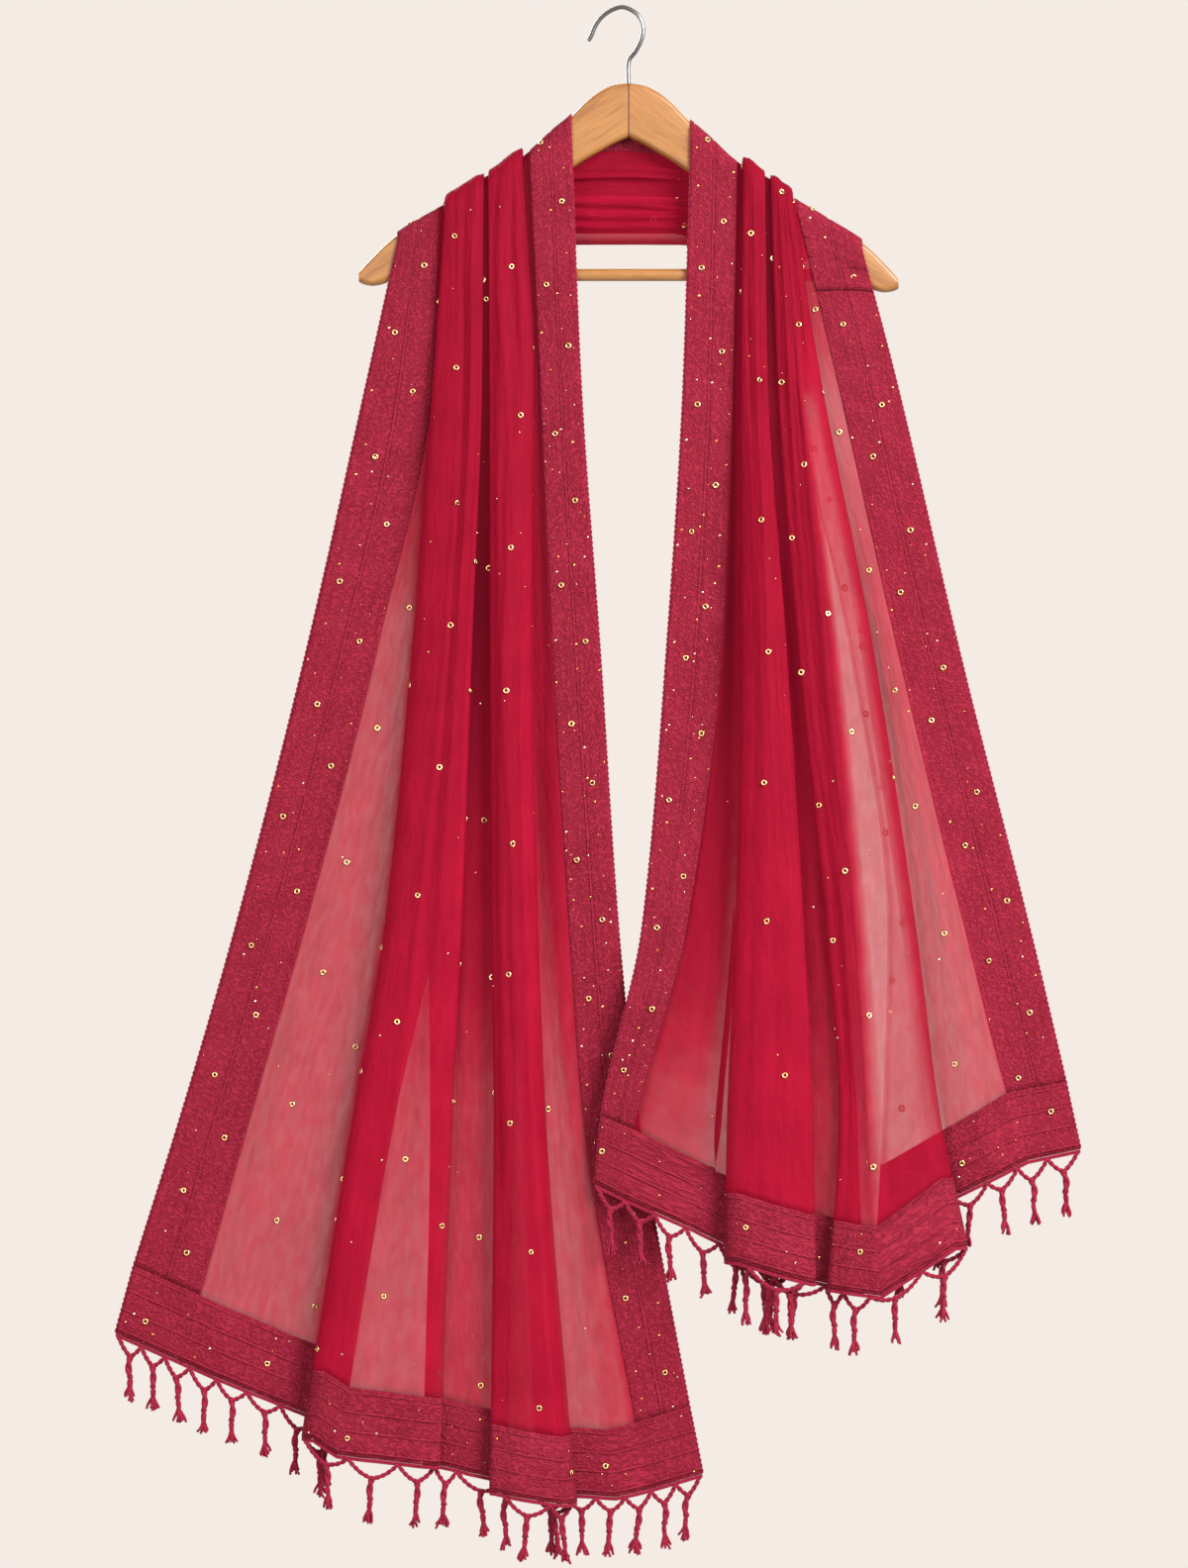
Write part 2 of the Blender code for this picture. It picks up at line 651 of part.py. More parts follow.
def build_hanger(materials):
    """Two arms bored for the hook's shank and the trouser bar, and the bar."""
    wood = materials["wood"]
    shank_foot = Vector((HANGER_CENTRE, 0, HOOK_SHANK_FOOT - SEAM_GAP))
    shank_bore = cutter("shank_bore", WIRE_RADIUS + SEAM_GAP, shank_foot, Vector((HANGER_CENTRE, 0, 0)), wood)
    bar_middle = Vector((HANGER_CENTRE, 0, BAR_Z))
    reach = Vector((BAR_REACH, 0, 0))
    play = Vector((SEAM_GAP, 0, 0))
    bar_bore = cutter("bar_bore", BAR_RADIUS + SEAM_GAP, bar_middle - reach - play, bar_middle + reach + play,
                      wood)
    for label, side in (("left", -1), ("right", 1)):
        sections = [wood_section(*row, side) for row in WOOD_PROFILE]
        arm = add_object(f"hanger_arm_{label}", loft(sections), wood)
        for guide in (shank_bore, bar_bore):
            bore = arm.modifiers.new(guide.name, "BOOLEAN")
            bore.operation = "DIFFERENCE"
            bore.solver = "EXACT"
            bore.object = guide
    add_object("trouser_bar", rod(BAR_RADIUS, bar_middle - reach, bar_middle + reach), wood)


def build_hook(material):
    """Steel wire: a straight shank in the wood, then the open bend that hangs on a rod."""
    knots = [(HANGER_CENTRE, HOOK_SHANK_FOOT), (HANGER_CENTRE, (HOOK_SHANK_FOOT + HOOK_SHANK_TOP) / 2),
             (HANGER_CENTRE, HOOK_SHANK_TOP)]
    knots += [(x * MM, z * MM) for x, z in HOOK_BEND]
    curve = bpy.data.curves.new("hook", "CURVE")
    curve.dimensions = "3D"
    spline = curve.splines.new("POLY")
    points = rounded_path(knots)
    spline.points.add(len(points) - 1)
    for item, (x, z) in zip(spline.points, points):
        item.co = (x, 0.0, z, 1.0)
    curve.bevel_depth = WIRE_RADIUS
    curve.bevel_resolution = 2
    curve.use_fill_caps = True
    curve.materials.append(material)
    hook = bpy.data.objects.new("hook", curve)
    bpy.context.scene.collection.objects.link(hook)


def rounded_path(knots):
    """Catmull-Rom points through the knots."""
    points = []
    padded = [knots[0]] + knots + [knots[-1]]
    for a, b, c, d in zip(padded, padded[1:], padded[2:], padded[3:]):
        for k in range(PATH_STEPS):
            f = k / PATH_STEPS
            points.append(tuple(0.5 * (2 * q + (r - p) * f + (2 * p - 5 * q + 4 * r - s) * f * f
                                       + (3 * q - p - 3 * r + s) * f ** 3)
                                for p, q, r, s in zip(a, b, c, d)))
    points.append(knots[-1])
    return points


def main():
    for item in list(bpy.data.objects):
        bpy.data.objects.remove(item, do_unlink=True)
    materials = {
        "ground": make_material("sheer_crimson", (0.50, 0.02, 0.09), 0.6),
        "border": make_material("border_raspberry", (0.42, 0.03, 0.08), 0.75),
        "fringe": make_material("fringe_thread", (0.45, 0.02, 0.07), 0.8),
        "wood": make_material("honey_wood", (0.55, 0.27, 0.09), 0.4),
        "steel": make_material("steel", (0.6, 0.6, 0.62), 0.25, 1.0),
    }
    build_hanger(materials)
    build_hook(materials["steel"])
    build_fall(LEFT, "left", materials)
    build_fall(RIGHT, "right", materials)
    build_outer_borders(materials)
    build_back(materials)
    build_fringe(LEFT, "left", materials["fringe"], 11)
    build_fringe(RIGHT, "right", materials["fringe"], 23)


main()
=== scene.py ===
"""Finishes and fine forms of a dupatta stole that hangs on a wooden hanger.

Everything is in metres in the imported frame: +Z up, the front towards -Y, the origin in the hook's crown.
The cloth is one length. It comes up the front on the left, over the left arm, behind the hanger, over the
right arm and down the front again. Lines run along it, numbered from the outer edge to the inner one.
"""

import logging
import math
import random
from dataclasses import dataclass
from enum import Enum, IntEnum
from typing import Callable, Iterable, NamedTuple, Optional, Sequence

import bmesh
import bpy
import numpy as np
from mathutils import Matrix, Vector


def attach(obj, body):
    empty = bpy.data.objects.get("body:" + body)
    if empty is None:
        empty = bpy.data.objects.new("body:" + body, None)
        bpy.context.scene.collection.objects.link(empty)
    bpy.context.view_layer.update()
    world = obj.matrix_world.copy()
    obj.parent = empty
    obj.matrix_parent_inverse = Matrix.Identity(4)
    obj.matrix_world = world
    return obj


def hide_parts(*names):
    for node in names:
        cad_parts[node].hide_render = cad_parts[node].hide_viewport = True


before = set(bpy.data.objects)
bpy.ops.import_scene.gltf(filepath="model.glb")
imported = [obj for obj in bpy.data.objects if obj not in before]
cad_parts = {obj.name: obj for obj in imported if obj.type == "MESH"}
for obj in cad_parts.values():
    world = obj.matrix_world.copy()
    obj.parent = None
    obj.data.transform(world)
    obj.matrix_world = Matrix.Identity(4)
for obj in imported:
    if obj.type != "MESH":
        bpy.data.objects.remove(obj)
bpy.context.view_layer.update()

BMesh, BMEdge, BMVert = bmesh.types.BMesh, bmesh.types.BMEdge, bmesh.types.BMVert
Object, Material, Mesh = bpy.types.Object, bpy.types.Material, bpy.types.Mesh
Node, Socket = bpy.types.Node, bpy.types.NodeSocket

LOG = logging.getLogger("dupatta")
MM = 0.001
BODY = "root"
UV_NAME = "cloth"
DENSITY_NAME = "gathering"


class Slot(str, Enum):
    """Material slots of the record."""

    SHEER = "sheer"
    BORDER = "border"
    FRINGE = "fringe"
    SEQUIN = "sequin"
    WOOD = "wood"
    STEEL = "steel"


class Line(IntEnum):
    """Lines along the cloth, from the outer edge to the inner one."""

    EDGE = 0
    SEAM = 1
    TUCK = 2
    FOLD_A = 3
    RIDGE_A = 4
    TURN_A = 5
    UNDER_A = 6
    UNDER_B = 7
    FOLD_B = 8
    TURN_B = 9
    TUCK_B = 10
    CREASE = 11
    INNER_SEAM = 12
    INNER_EDGE = 13


class Run(NamedTuple):
    """Cloth between two lines: its layer, steps across, gathers and their heights at top and foot in mm."""

    layer: int
    parts: int
    gathers: float
    high: float
    low: float


class Crease(NamedTuple):
    """A soft ridge, or a trough where depth is negative: run, shares, heights and sizes, in mm."""

    line: Line
    share_top: float
    share_foot: float
    top: float
    foot: float
    width: float
    depth: float


class Pleat(NamedTuple):
    """A narrow fold of three layers: run, shares, heights, half width and overhang, in mm."""

    line: Line
    share_top: float
    share_foot: float
    top: float
    foot: float
    width: float
    overhang: float


# Layer 1 is the front one, and the innermost lies on the wood.
RUNS = {
    Line.EDGE: Run(5, 22, 0.0, 0.0, 0.0),
    Line.SEAM: Run(5, 28, 4.3, 0.45, 1.3),
    Line.TUCK: Run(4, 7, 1.4, 0.3, 1.0),
    Line.FOLD_A: Run(1, 7, 0.8, 1.6, 0.6),
    Line.RIDGE_A: Run(1, 18, 1.6, 3.0, 1.5),
    Line.TURN_A: Run(2, 5, 0.8, 0.3, 0.8),
    Line.UNDER_A: Run(3, 17, 2.4, 0.6, 1.9),
    Line.UNDER_B: Run(2, 5, 0.8, 0.3, 0.8),
    Line.FOLD_B: Run(1, 18, 1.7, 3.0, 1.6),
    Line.TURN_B: Run(4, 7, 1.4, 0.3, 1.0),
    Line.TUCK_B: Run(5, 13, 2.4, 0.45, 1.3),
    Line.CREASE: Run(5, 7, 0.6, 0.3, 0.6),
    Line.INNER_SEAM: Run(5, 22, 0.0, 0.0, 0.0),
}
INNERMOST = 5.0
# How many layers deep each run is, at these distances below the hook's crown in metres: 1 hangs flat. The
# sheer's colour darkens with the count, so the high counts, such as six under the first fold and by the
# crease, also paint the shade of the deep valleys there.
LAYER_DROPS = (0.23, 0.32, 0.50, 0.75, 0.88, 1.0)
LAYERS = {
    "left": {
        Line.EDGE: (2.0, 2.0, 2.0, 2.0, 2.0, 2.0),
        Line.SEAM: (5.0, 2.4, 1.0, 1.0, 1.0, 1.0),
        Line.TUCK: (4.0, 3.0, 2.0, 1.2, 0.8, 0.6),
        Line.FOLD_A: (3.2, 3.0, 2.8, 2.2, 1.6, 1.2),
        Line.RIDGE_A: (3.4, 3.2, 2.8, 2.0, 1.2, 1.0),
        Line.TURN_A: (4.0, 3.0, 2.0, 0.8, 0.4, 0.3),
        Line.UNDER_A: (6.0, 6.0, 6.0, 3.0, 1.5, 1.4),
        Line.UNDER_B: (4.0, 3.0, 2.0, 1.0, 0.6, 0.5),
        Line.FOLD_B: (3.2, 3.0, 2.8, 2.5, 2.3, 2.1),
        Line.TURN_B: (4.0, 3.0, 2.0, 1.0, 0.6, 0.5),
        Line.TUCK_B: (5.0, 4.0, 3.2, 1.6, 1.1, 1.0),
        Line.CREASE: (6.0, 6.0, 5.0, 2.4, 1.5, 1.2),
        Line.INNER_SEAM: (2.0, 2.0, 2.0, 2.0, 2.0, 2.0),
    },
    "right": {
        Line.EDGE: (2.0, 2.0, 2.0, 2.0, 2.0, 2.0),
        Line.SEAM: (1.5, 0.78, 0.70, 0.66, 0.64, 0.64),
        Line.TUCK: (3.0, 0.2, 0.1, 0.1, 0.1, 0.1),
        Line.FOLD_A: (3.0, 0.9, 0.66, 0.60, 0.58, 0.58),
        Line.RIDGE_A: (3.4, 3.2, 3.0, 2.6, 1.8, 1.5),
        Line.TURN_A: (4.0, 3.5, 3.0, 2.4, 2.0, 1.6),
        Line.UNDER_A: (6.0, 5.0, 4.2, 2.6, 1.8, 1.5),
        Line.UNDER_B: (4.0, 3.0, 2.0, 1.0, 0.8, 0.8),
        Line.FOLD_B: (3.2, 2.8, 2.5, 2.0, 1.8, 1.6),
        Line.TURN_B: (4.0, 3.0, 2.0, 1.0, 0.8, 0.8),
        Line.TUCK_B: (5.0, 4.0, 3.2, 1.6, 1.0, 0.9),
        Line.CREASE: (6.0, 6.0, 6.0, 3.0, 1.3, 0.9),
        Line.INNER_SEAM: (2.0, 2.0, 2.0, 2.0, 2.0, 2.0),
    },
}
# The same behind the hanger: the distances, then the layers there.
NECK_LAYERS = ((0.143, 0.146, 0.149, 0.152, 0.156, 0.160, 0.176, 0.184),
               (3.2, 1.0, 1.0, 2.6, 2.2, 0.7, 0.5, 1.2))
# Lines at which the cloth turns back, and the side that the fold faces on the left fall: 1 is to the right.
TURN_SIDES = {Line.TUCK: 1, Line.FOLD_A: -1, Line.TURN_A: 1, Line.UNDER_A: -1, Line.UNDER_B: 1,
              Line.FOLD_B: -1, Line.TURN_B: 1, Line.TUCK_B: -1}
# Steps round each turn, and over the first part of the outer panel, which rolls up behind the hanger
TURN_PARTS = 4
ARC_PARTS = 8

# Across: x over the hanger's arm, x at each of LEVELS, x at the hem, then the height of the hem, all in mm.
LEVELS = (-300.0, -525.0, -750.0, -900.0)
LEFT_LINES = [
    (-183, -207, -257, -314, -357, -414, -1083),
    (-150, -154, -200, -258, -301, -359, -1107),
    (-116, -112, -119, -150, -184, -228, -1160),
    (-145, -154, -171, -193, -218, -260, -1165),
    (-135, -132, -144, -166, -184, -231, -1177),
    (-113, -114, -122, -130, -137, -148, -1187),
    (-138, -143, -155, -157, -156, -162, -1186),
    (-88, -81, -81, -83, -88, -93, -1201),
    (-109, -108, -107, -106, -104, -107, -1208),
    (-81, -72, -73, -68, -62, -37, -1218),
    (-101, -98, -98, -92, -82, -70, -1212),
    (-78, -69, -64, -55, -42, -5, -1216),
    (-75, -67, -57, -43, -32, 22, -1211),
    (-42, -34, -18, -3, 13, 66, -1198),
]
RIGHT_LINES = [
    (196, 223, 275, 330, 365, 373, -931),
    (143, 175, 225, 278, 316, 330, -940),
    (128, 140, 186, 216, 212, 207, -998),
    (140, 162, 205, 238, 257, 279, -1007),
    (133, 144, 170, 188, 198, 208, -1046),
    (122, 127, 143, 165, 175, 166, -1041),
    (130, 139, 161, 180, 190, 195, -1045),
    (103, 104, 106, 101, 96, 96, -1022),
    (117, 119, 134, 147, 154, 156, -1036),
    (99, 97, 97, 92, 85, 83, -1019),
    (110, 112, 127, 134, 138, 136, -1032),
    (97, 93, 91, 80, 65, 58, -995),
    (94, 91, 82, 53, 13, 0, -970),
    (57, 51, 37, 17, -16, -22, -959),
]

LEFT_CREASES = [
    Crease(Line.SEAM, 0.16, 0.22, -560, -1090, 15, 2.6),
    Crease(Line.SEAM, 0.34, 0.40, -600, -1130, 13, -2.4),
    Crease(Line.SEAM, 0.52, 0.60, -820, -1150, 8, 2.4),
    Crease(Line.SEAM, 0.70, 0.74, -700, -1140, 7, -1.6),
    Crease(Line.FOLD_A, 0.55, 0.60, -320, -1020, 7, -1.5),
    Crease(Line.RIDGE_A, 0.24, 0.30, -210, -960, 6, -2.2),
    Crease(Line.RIDGE_A, 0.55, 0.48, -180, -760, 5, 2.0),
    Crease(Line.RIDGE_A, 0.82, 0.72, -230, -1130, 8, 1.9),
    Crease(Line.UNDER_A, 0.30, 0.36, -260, -900, 6, 1.6),
    Crease(Line.UNDER_A, 0.62, 0.66, -500, -1150, 9, -2.4),
    Crease(Line.UNDER_A, 0.86, 0.80, -640, -1160, 5, 1.8),
    Crease(Line.FOLD_B, 0.22, 0.22, -190, -1000, 6, 2.3),
    Crease(Line.FOLD_B, 0.50, 0.40, -240, -900, 5, -2.2),
    Crease(Line.FOLD_B, 0.78, 0.66, -200, -1130, 7, 2.0),
    Crease(Line.TUCK_B, 0.45, 0.40, -420, -1170, 4, 2.0),
    Crease(Line.TUCK_B, 0.74, 0.70, -560, -1150, 5, -2.0),
    Crease(Line.CREASE, 0.45, 0.50, -500, -1160, 4, 1.2),
]
LEFT_PLEATS = [
    Pleat(Line.UNDER_A, 0.34, 0.28, -520, -1080, 3.4, 3.6),
    Pleat(Line.TUCK_B, 0.30, 0.34, -760, -1250, 2.6, 11.0),
]
RIGHT_CREASES = [
    Crease(Line.SEAM, 0.20, 0.16, -420, -880, 12, 2.2),
    Crease(Line.SEAM, 0.45, 0.36, -520, -930, 9, -1.3),
    Crease(Line.SEAM, 0.85, 0.80, -560, -960, 8, 1.6),
    Crease(Line.FOLD_A, 0.50, 0.55, -300, -930, 7, -1.6),
    Crease(Line.RIDGE_A, 0.30, 0.34, -220, -900, 6, 2.1),
    Crease(Line.RIDGE_A, 0.70, 0.66, -260, -980, 5, -1.9),
    Crease(Line.UNDER_A, 0.25, 0.22, -330, -980, 8, 2.2),
    Crease(Line.UNDER_A, 0.52, 0.52, -420, -1000, 9, -2.0),
    Crease(Line.UNDER_A, 0.78, 0.80, -520, -990, 6, 1.8),
    Crease(Line.FOLD_B, 0.20, 0.26, -210, -860, 6, 2.0),
    Crease(Line.FOLD_B, 0.48, 0.46, -240, -960, 7, -2.0),
    Crease(Line.FOLD_B, 0.80, 0.74, -300, -980, 6, 1.8),
    Crease(Line.TUCK_B, 0.30, 0.30, -540, -980, 9, 2.6),
    Crease(Line.TUCK_B, 0.62, 0.66, -620, -960, 8, -2.2),
    Crease(Line.CREASE, 0.50, 0.52, -600, -940, 8, 1.8),
]
RIGHT_PLEATS = [
    Pleat(Line.SEAM, 0.30, 0.62, -660, -1000, 3.4, 0.8),
    Pleat(Line.TUCK_B, 0.78, 0.80, -700, -990, 2.6, 10.0),
]


def ease(low: float, high: float, at: float | np.ndarray) -> float | np.ndarray:
    """0 below low, 1 above high, smooth between.

    Args:
        low: where the change starts.
        high: where it ends.
        at: one place or an array of them.

    Returns:
        The share at each place.
    """
    f = np.clip((at - low) / (high - low), 0.0, 1.0)
    return f * f * (3.0 - 2.0 * f)


def smooth_through(knots: Sequence[float], values: Sequence[float], at: float) -> float:
    """Hermite curve through the values whose flat runs stay free of overshoot.

    Args:
        knots: rising places.
        values: the value at each knot.
        at: where to read it.

    Returns:
        The value there.
    """
    if at <= knots[0]:
        return values[0]
    if at >= knots[-1]:
        return values[-1]
    slopes = [(values[i + 1] - values[i]) / (knots[i + 1] - knots[i]) for i in range(len(knots) - 1)]
    tangents = [slopes[0]]
    for before, after in zip(slopes, slopes[1:]):
        tangents.append(0.0 if before * after <= 0.0 else 2.0 * before * after / (before + after))
    tangents.append(slopes[-1])
    i = max(k for k in range(len(knots) - 1) if knots[k] <= at)
    width = knots[i + 1] - knots[i]
    f = (at - knots[i]) / width
    return (values[i] * (1 + 2 * f) * (1 - f) ** 2 + tangents[i] * width * f * (1 - f) ** 2
            + values[i + 1] * f * f * (3 - 2 * f) + tangents[i + 1] * width * f * f * (f - 1))


def soft_noise(across: np.ndarray, along: np.ndarray, seed: int) -> np.ndarray:
    """Smooth random values from -1 to 1.

    Args:
        across: first coordinate, in cells.
        along: second coordinate, in cells, of a shape that fits the first.
        seed: picks the pattern.

    Returns:
        An array of their common shape.
    """
    cells = 128
    table = np.random.default_rng(seed).uniform(-1.0, 1.0, (cells, cells))
    low_a, low_b = np.floor(across).astype(int), np.floor(along).astype(int)
    fa, fb = across - low_a, along - low_b
    fa, fb = fa * fa * (3.0 - 2.0 * fa), fb * fb * (3.0 - 2.0 * fb)
    a0, a1, b0, b1 = low_a % cells, (low_a + 1) % cells, low_b % cells, (low_b + 1) % cells
    near = table[a0, b0] * (1.0 - fa) + table[a1, b0] * fa
    far = table[a0, b1] * (1.0 - fa) + table[a1, b1] * fa
    return near * (1.0 - fb) + far * fb


def unit(vectors: np.ndarray) -> np.ndarray:
    """The vectors at length 1."""
    return vectors / np.maximum(np.linalg.norm(vectors, axis=-1, keepdims=True), 1e-12)


# The hanger


@dataclass(frozen=True)
class HangerSizes:
    """Sizes of the wooden hanger and its steel hook."""

    centre: float = 5.7 * MM
    tilt: float = 0.0128
    thickness: float = 12.0 * MM
    rounding: float = 5.0 * MM
    rounding_share: float = 0.45
    bar_radius: float = 5.0 * MM
    bar_height: float = -216.5 * MM
    bar_reach: float = 196.0 * MM
    wire_radius: float = 1.75 * MM
    shank_top: float = -42.0 * MM
    shank_foot: float = -80.0 * MM
    # From the middle outwards: distance, top edge, bottom edge, in mm.
    profile: tuple[tuple[float, float, float], ...] = (
        (0.15, -59.3, -103.6), (12.0, -61.0, -109.0), (24.0, -66.5, -116.0), (36.0, -76.0, -123.0),
        (48.0, -88.5, -131.0), (66.0, -104.0, -141.5), (84.0, -121.0, -151.0), (117.0, -143.7, -170.0),
        (144.0, -159.0, -186.0), (170.0, -174.0, -203.0), (188.0, -185.0, -218.0), (200.0, -195.0, -226.0),
        (210.0, -205.0, -228.0), (217.0, -212.5, -227.0), (221.0, -217.5, -225.0))
    # The open bend of the wire: x and z in mm.
    bend: tuple[tuple[float, float], ...] = (
        (11.5, -33.0), (16.2, -23.5), (17.5, -14.0), (14.0, -4.0), (6.5, 1.6), (-0.8, 3.2), (-9.7, 0.0),
        (-17.0, -5.7), (-22.0, -13.0), (-25.0, -20.5), (-27.6, -24.4))

    def edge(self, x: float, column: int) -> float:
        """Height of the arms' top (column 1) or bottom (column 2) edge at x."""
        knots = [row[0] * MM for row in self.profile]
        heights = [row[column] * MM for row in self.profile]
        return smooth_through(knots, heights, abs(x - self.centre)) - self.tilt * (x - self.centre)

    def slope_cosine(self, x: float) -> float:
        """Cosine of the slope of the arm's top edge at x."""
        step = 4.0 * MM
        rise = (self.edge(x + step, 1) - self.edge(x - step, 1)) / (2 * step)
        return 1.0 / math.sqrt(1.0 + rise * rise)

    def wrap_centre(self, x: float) -> float:
        """Height of the line inside the arm that the cloth turns about."""
        return self.edge(x, 1) - self.thickness / 2 / self.slope_cosine(x)


HANGER = HangerSizes()

# The cloth's geometry


@dataclass(frozen=True)
class ClothSizes:
    """Sizes that the falls and the back stretch share, in metres."""

    nearest: float = 7.95 * MM
    step_top: float = 1.7 * MM
    step_low: float = 6.6 * MM
    step_back: float = 2.6 * MM
    spread: tuple[float, float] = (0.2, 0.62)
    lean_span: tuple[float, float] = (0.52, 0.86)
    swell_span: tuple[float, float] = (0.2, 0.5)
    crease_span: tuple[float, float] = (0.6, 0.9)
    panel_swell: float = 3.0 * MM
    panel_swell_share: float = 0.6
    fold_swell: float = 4.0 * MM
    crease_height: float = 5.0 * MM
    band_height: float = 55.0 * MM
    sheer_wall: float = 0.3 * MM
    border_wall: float = 0.9 * MM
    arc_share: float = 0.15

    def step(self, z: float | np.ndarray) -> float | np.ndarray:
        """Distance between two layers at a height."""
        return self.step_top + (self.step_low - self.step_top) * ease(*self.spread, -z)


CLOTH = ClothSizes()


class Stops:
    """The places across the whole cloth at which its grids have a column."""

    def __init__(self) -> None:
        """Works out the line and the share of its run for each column."""
        line: list[int] = []
        share: list[float] = []
        turning: list[bool] = []
        for run_line, run in RUNS.items():
            shares = [k / run.parts for k in range(run.parts)]
            if run_line == Line.SEAM:
                rest = run.parts - ARC_PARTS
                shares = [CLOTH.arc_share * k / ARC_PARTS for k in range(ARC_PARTS)]
                shares += [CLOTH.arc_share + (1.0 - CLOTH.arc_share) * k / rest for k in range(rest)]
            if run_line in TURN_SIDES:
                turn = [k / TURN_PARTS for k in range(TURN_PARTS + 1)]
                line += [run_line] * len(turn)
                share += turn
                turning += [True] * len(turn)
                shares = shares[1:]
            line += [run_line] * len(shares)
            share += shares
            turning += [False] * len(shares)
        self.line = np.array(line + [Line.INNER_SEAM])
        self.share = np.array(share + [1.0])
        self.turning = np.array(turning + [False])
        self.flat = ~self.turning
        self.count = len(self.line)
        self.seam = self.column(Line.SEAM)
        self.inner_seam = self.column(Line.INNER_SEAM)

    def column(self, line: Line) -> int:
        """First column of a run that doesn't start with a turn."""
        return int(np.nonzero((self.line == line) & (self.share == 0.0))[0][0])

    def pick(self, values: Sequence[float]) -> np.ndarray:
        """The value of each column's line."""
        return np.asarray(values, float)[self.line]

    def window(self, reach: float) -> np.ndarray:
        """0 at the turns and 1 away from them.

        Args:
            reach: share of a run over which it rises.

        Returns:
            One value a column.
        """
        result = np.ones(self.count)
        result[self.turning] = 0.0
        for line in RUNS:
            here = (self.line == line) & self.flat
            if line in TURN_SIDES:
                result[here] *= ease(0.0, reach, self.share[here])
            if line + 1 in TURN_SIDES:
                result[here] *= ease(0.0, reach, 1.0 - self.share[here])
        return result


STOPS = Stops()


class Fall:
    """One end of the cloth, from the hem up the front and over an arm."""

    def __init__(self, lines: Sequence[Sequence[float]], side: int, lean: float) -> None:
        """Works out the top and the hem of every column.

        Args:
            lines: its row of places for each line.
            side: 1 on the left and -1 on the right, where the folds are mirrored.
            lean: how far its foot hangs forward.
        """
        self.lines = lines
        self.side = side
        self.lean = lean
        self.hem = np.array([row[-1] * MM for row in lines])
        self.top = np.array([HANGER.wrap_centre(row[0] * MM) for row in lines])
        self.top_x, self.layer = self.across(self.top)
        self.top_z = np.array([HANGER.wrap_centre(x) for x in self.top_x])
        self.cosine = np.array([HANGER.slope_cosine(x) for x in self.top_x])
        following = np.append(self.hem[1:], self.hem[-1])
        share = np.where(STOPS.turning, 0.0, STOPS.share)
        self.hem_z = STOPS.pick(self.hem) + share * (STOPS.pick(following) - STOPS.pick(self.hem))
        self.band_top = 1.0 - CLOTH.band_height / (self.top_z - self.hem_z)

    def line_x(self, line: int, z: float) -> float:
        """x of a line at a height."""
        row = self.lines[line]
        knots = [-self.top[line]] + [-level * MM for level in LEVELS] + [-self.hem[line]]
        return smooth_through(knots, [value * MM for value in row[:-1]], -z)

    def across(self, heights: np.ndarray) -> tuple[np.ndarray, np.ndarray]:
        """x and layer of every column.

        Args:
            heights: the height of each line.

        Returns:
            The x values and the layers.
        """
        lines = len(Line)
        x = np.array([self.line_x(line, heights[line]) for line in range(lines)])
        layers = [run.layer for run in RUNS.values()]
        start, end = x.copy(), x.copy()
        radius, sign, before = np.zeros(lines), np.zeros(lines), np.zeros(lines)
        for line, side in TURN_SIDES.items():
            before[line] = layers[line - 1]
            radius[line] = abs(layers[line] - layers[line - 1]) * CLOTH.step(heights[line]) / 2.0
            sign[line] = side * self.side
            start[line] = end[line] = x[line] - sign[line] * radius[line]
        following = np.append(end[1:], end[-1])
        run_x = STOPS.pick(start) + (STOPS.pick(following) - STOPS.pick(start)) * STOPS.share
        own = STOPS.pick(layers + [layers[-1]])
        angle = math.pi * STOPS.share
        turn_x = STOPS.pick(x) - STOPS.pick(sign) * STOPS.pick(radius) * (1.0 - np.sin(angle))
        turn_layer = STOPS.pick(before) + (own - STOPS.pick(before)) * (1.0 - np.cos(angle)) / 2.0
        return np.where(STOPS.turning, turn_x, run_x), np.where(STOPS.turning, turn_layer, own)

    def hang(self, down: np.ndarray | float) -> tuple[np.ndarray, np.ndarray]:
        """A row of points on the front.

        Args:
            down: 0 at the arm and 1 at the hem, for each column; past 1 it lies below the hem, in metres.

        Returns:
            The points, and the way outwards at each.
        """
        down = np.broadcast_to(np.asarray(down, float), STOPS.count)
        lowered = np.minimum(down, 1.0)
        mean = float(np.mean(lowered))
        x, layer = self.across(self.top + (self.hem - self.top) * mean)
        z = self.top_z + (self.hem_z - self.top_z) * lowered - np.maximum(0.0, down - 1.0)
        depth = CLOTH.nearest + (INNERMOST - layer) * CLOTH.step(z) + self.lean * ease(*CLOTH.lean_span, -z)
        points = np.stack((x, -depth - self.relief(z), z), axis=1)
        return points, np.tile((0.0, -1.0, 0.0), (STOPS.count, 1))

    def relief(self, z: np.ndarray) -> np.ndarray:
        """Rounding of the runs that face the front, and the crease beside the inner border."""
        low, lower = ease(*CLOTH.swell_span, -z), ease(*CLOTH.crease_span, -z)
        line, share = STOPS.line, STOPS.share
        panel = CLOTH.panel_swell * low * np.sin(math.pi * np.minimum(1.0, share / CLOTH.panel_swell_share))
        front = CLOTH.fold_swell * low * np.sin(math.pi * (share + line - Line.FOLD_A) / 2.0)
        fold = CLOTH.fold_swell * low * np.sin(math.pi * share)
        rise = CLOTH.crease_height * lower * np.sin(math.pi * share / 2.0)
        fade = CLOTH.crease_height * lower * np.cos(math.pi * share / 2.0)
        first_fold = (line == Line.FOLD_A) | (line == Line.RIDGE_A)
        result = np.select(
            [line == Line.SEAM, first_fold, line == Line.FOLD_B, line == Line.TUCK_B, line == Line.CREASE],
            [panel, front, fold, rise, fade], 0.0)
        return np.where(STOPS.turning, 0.0, result)

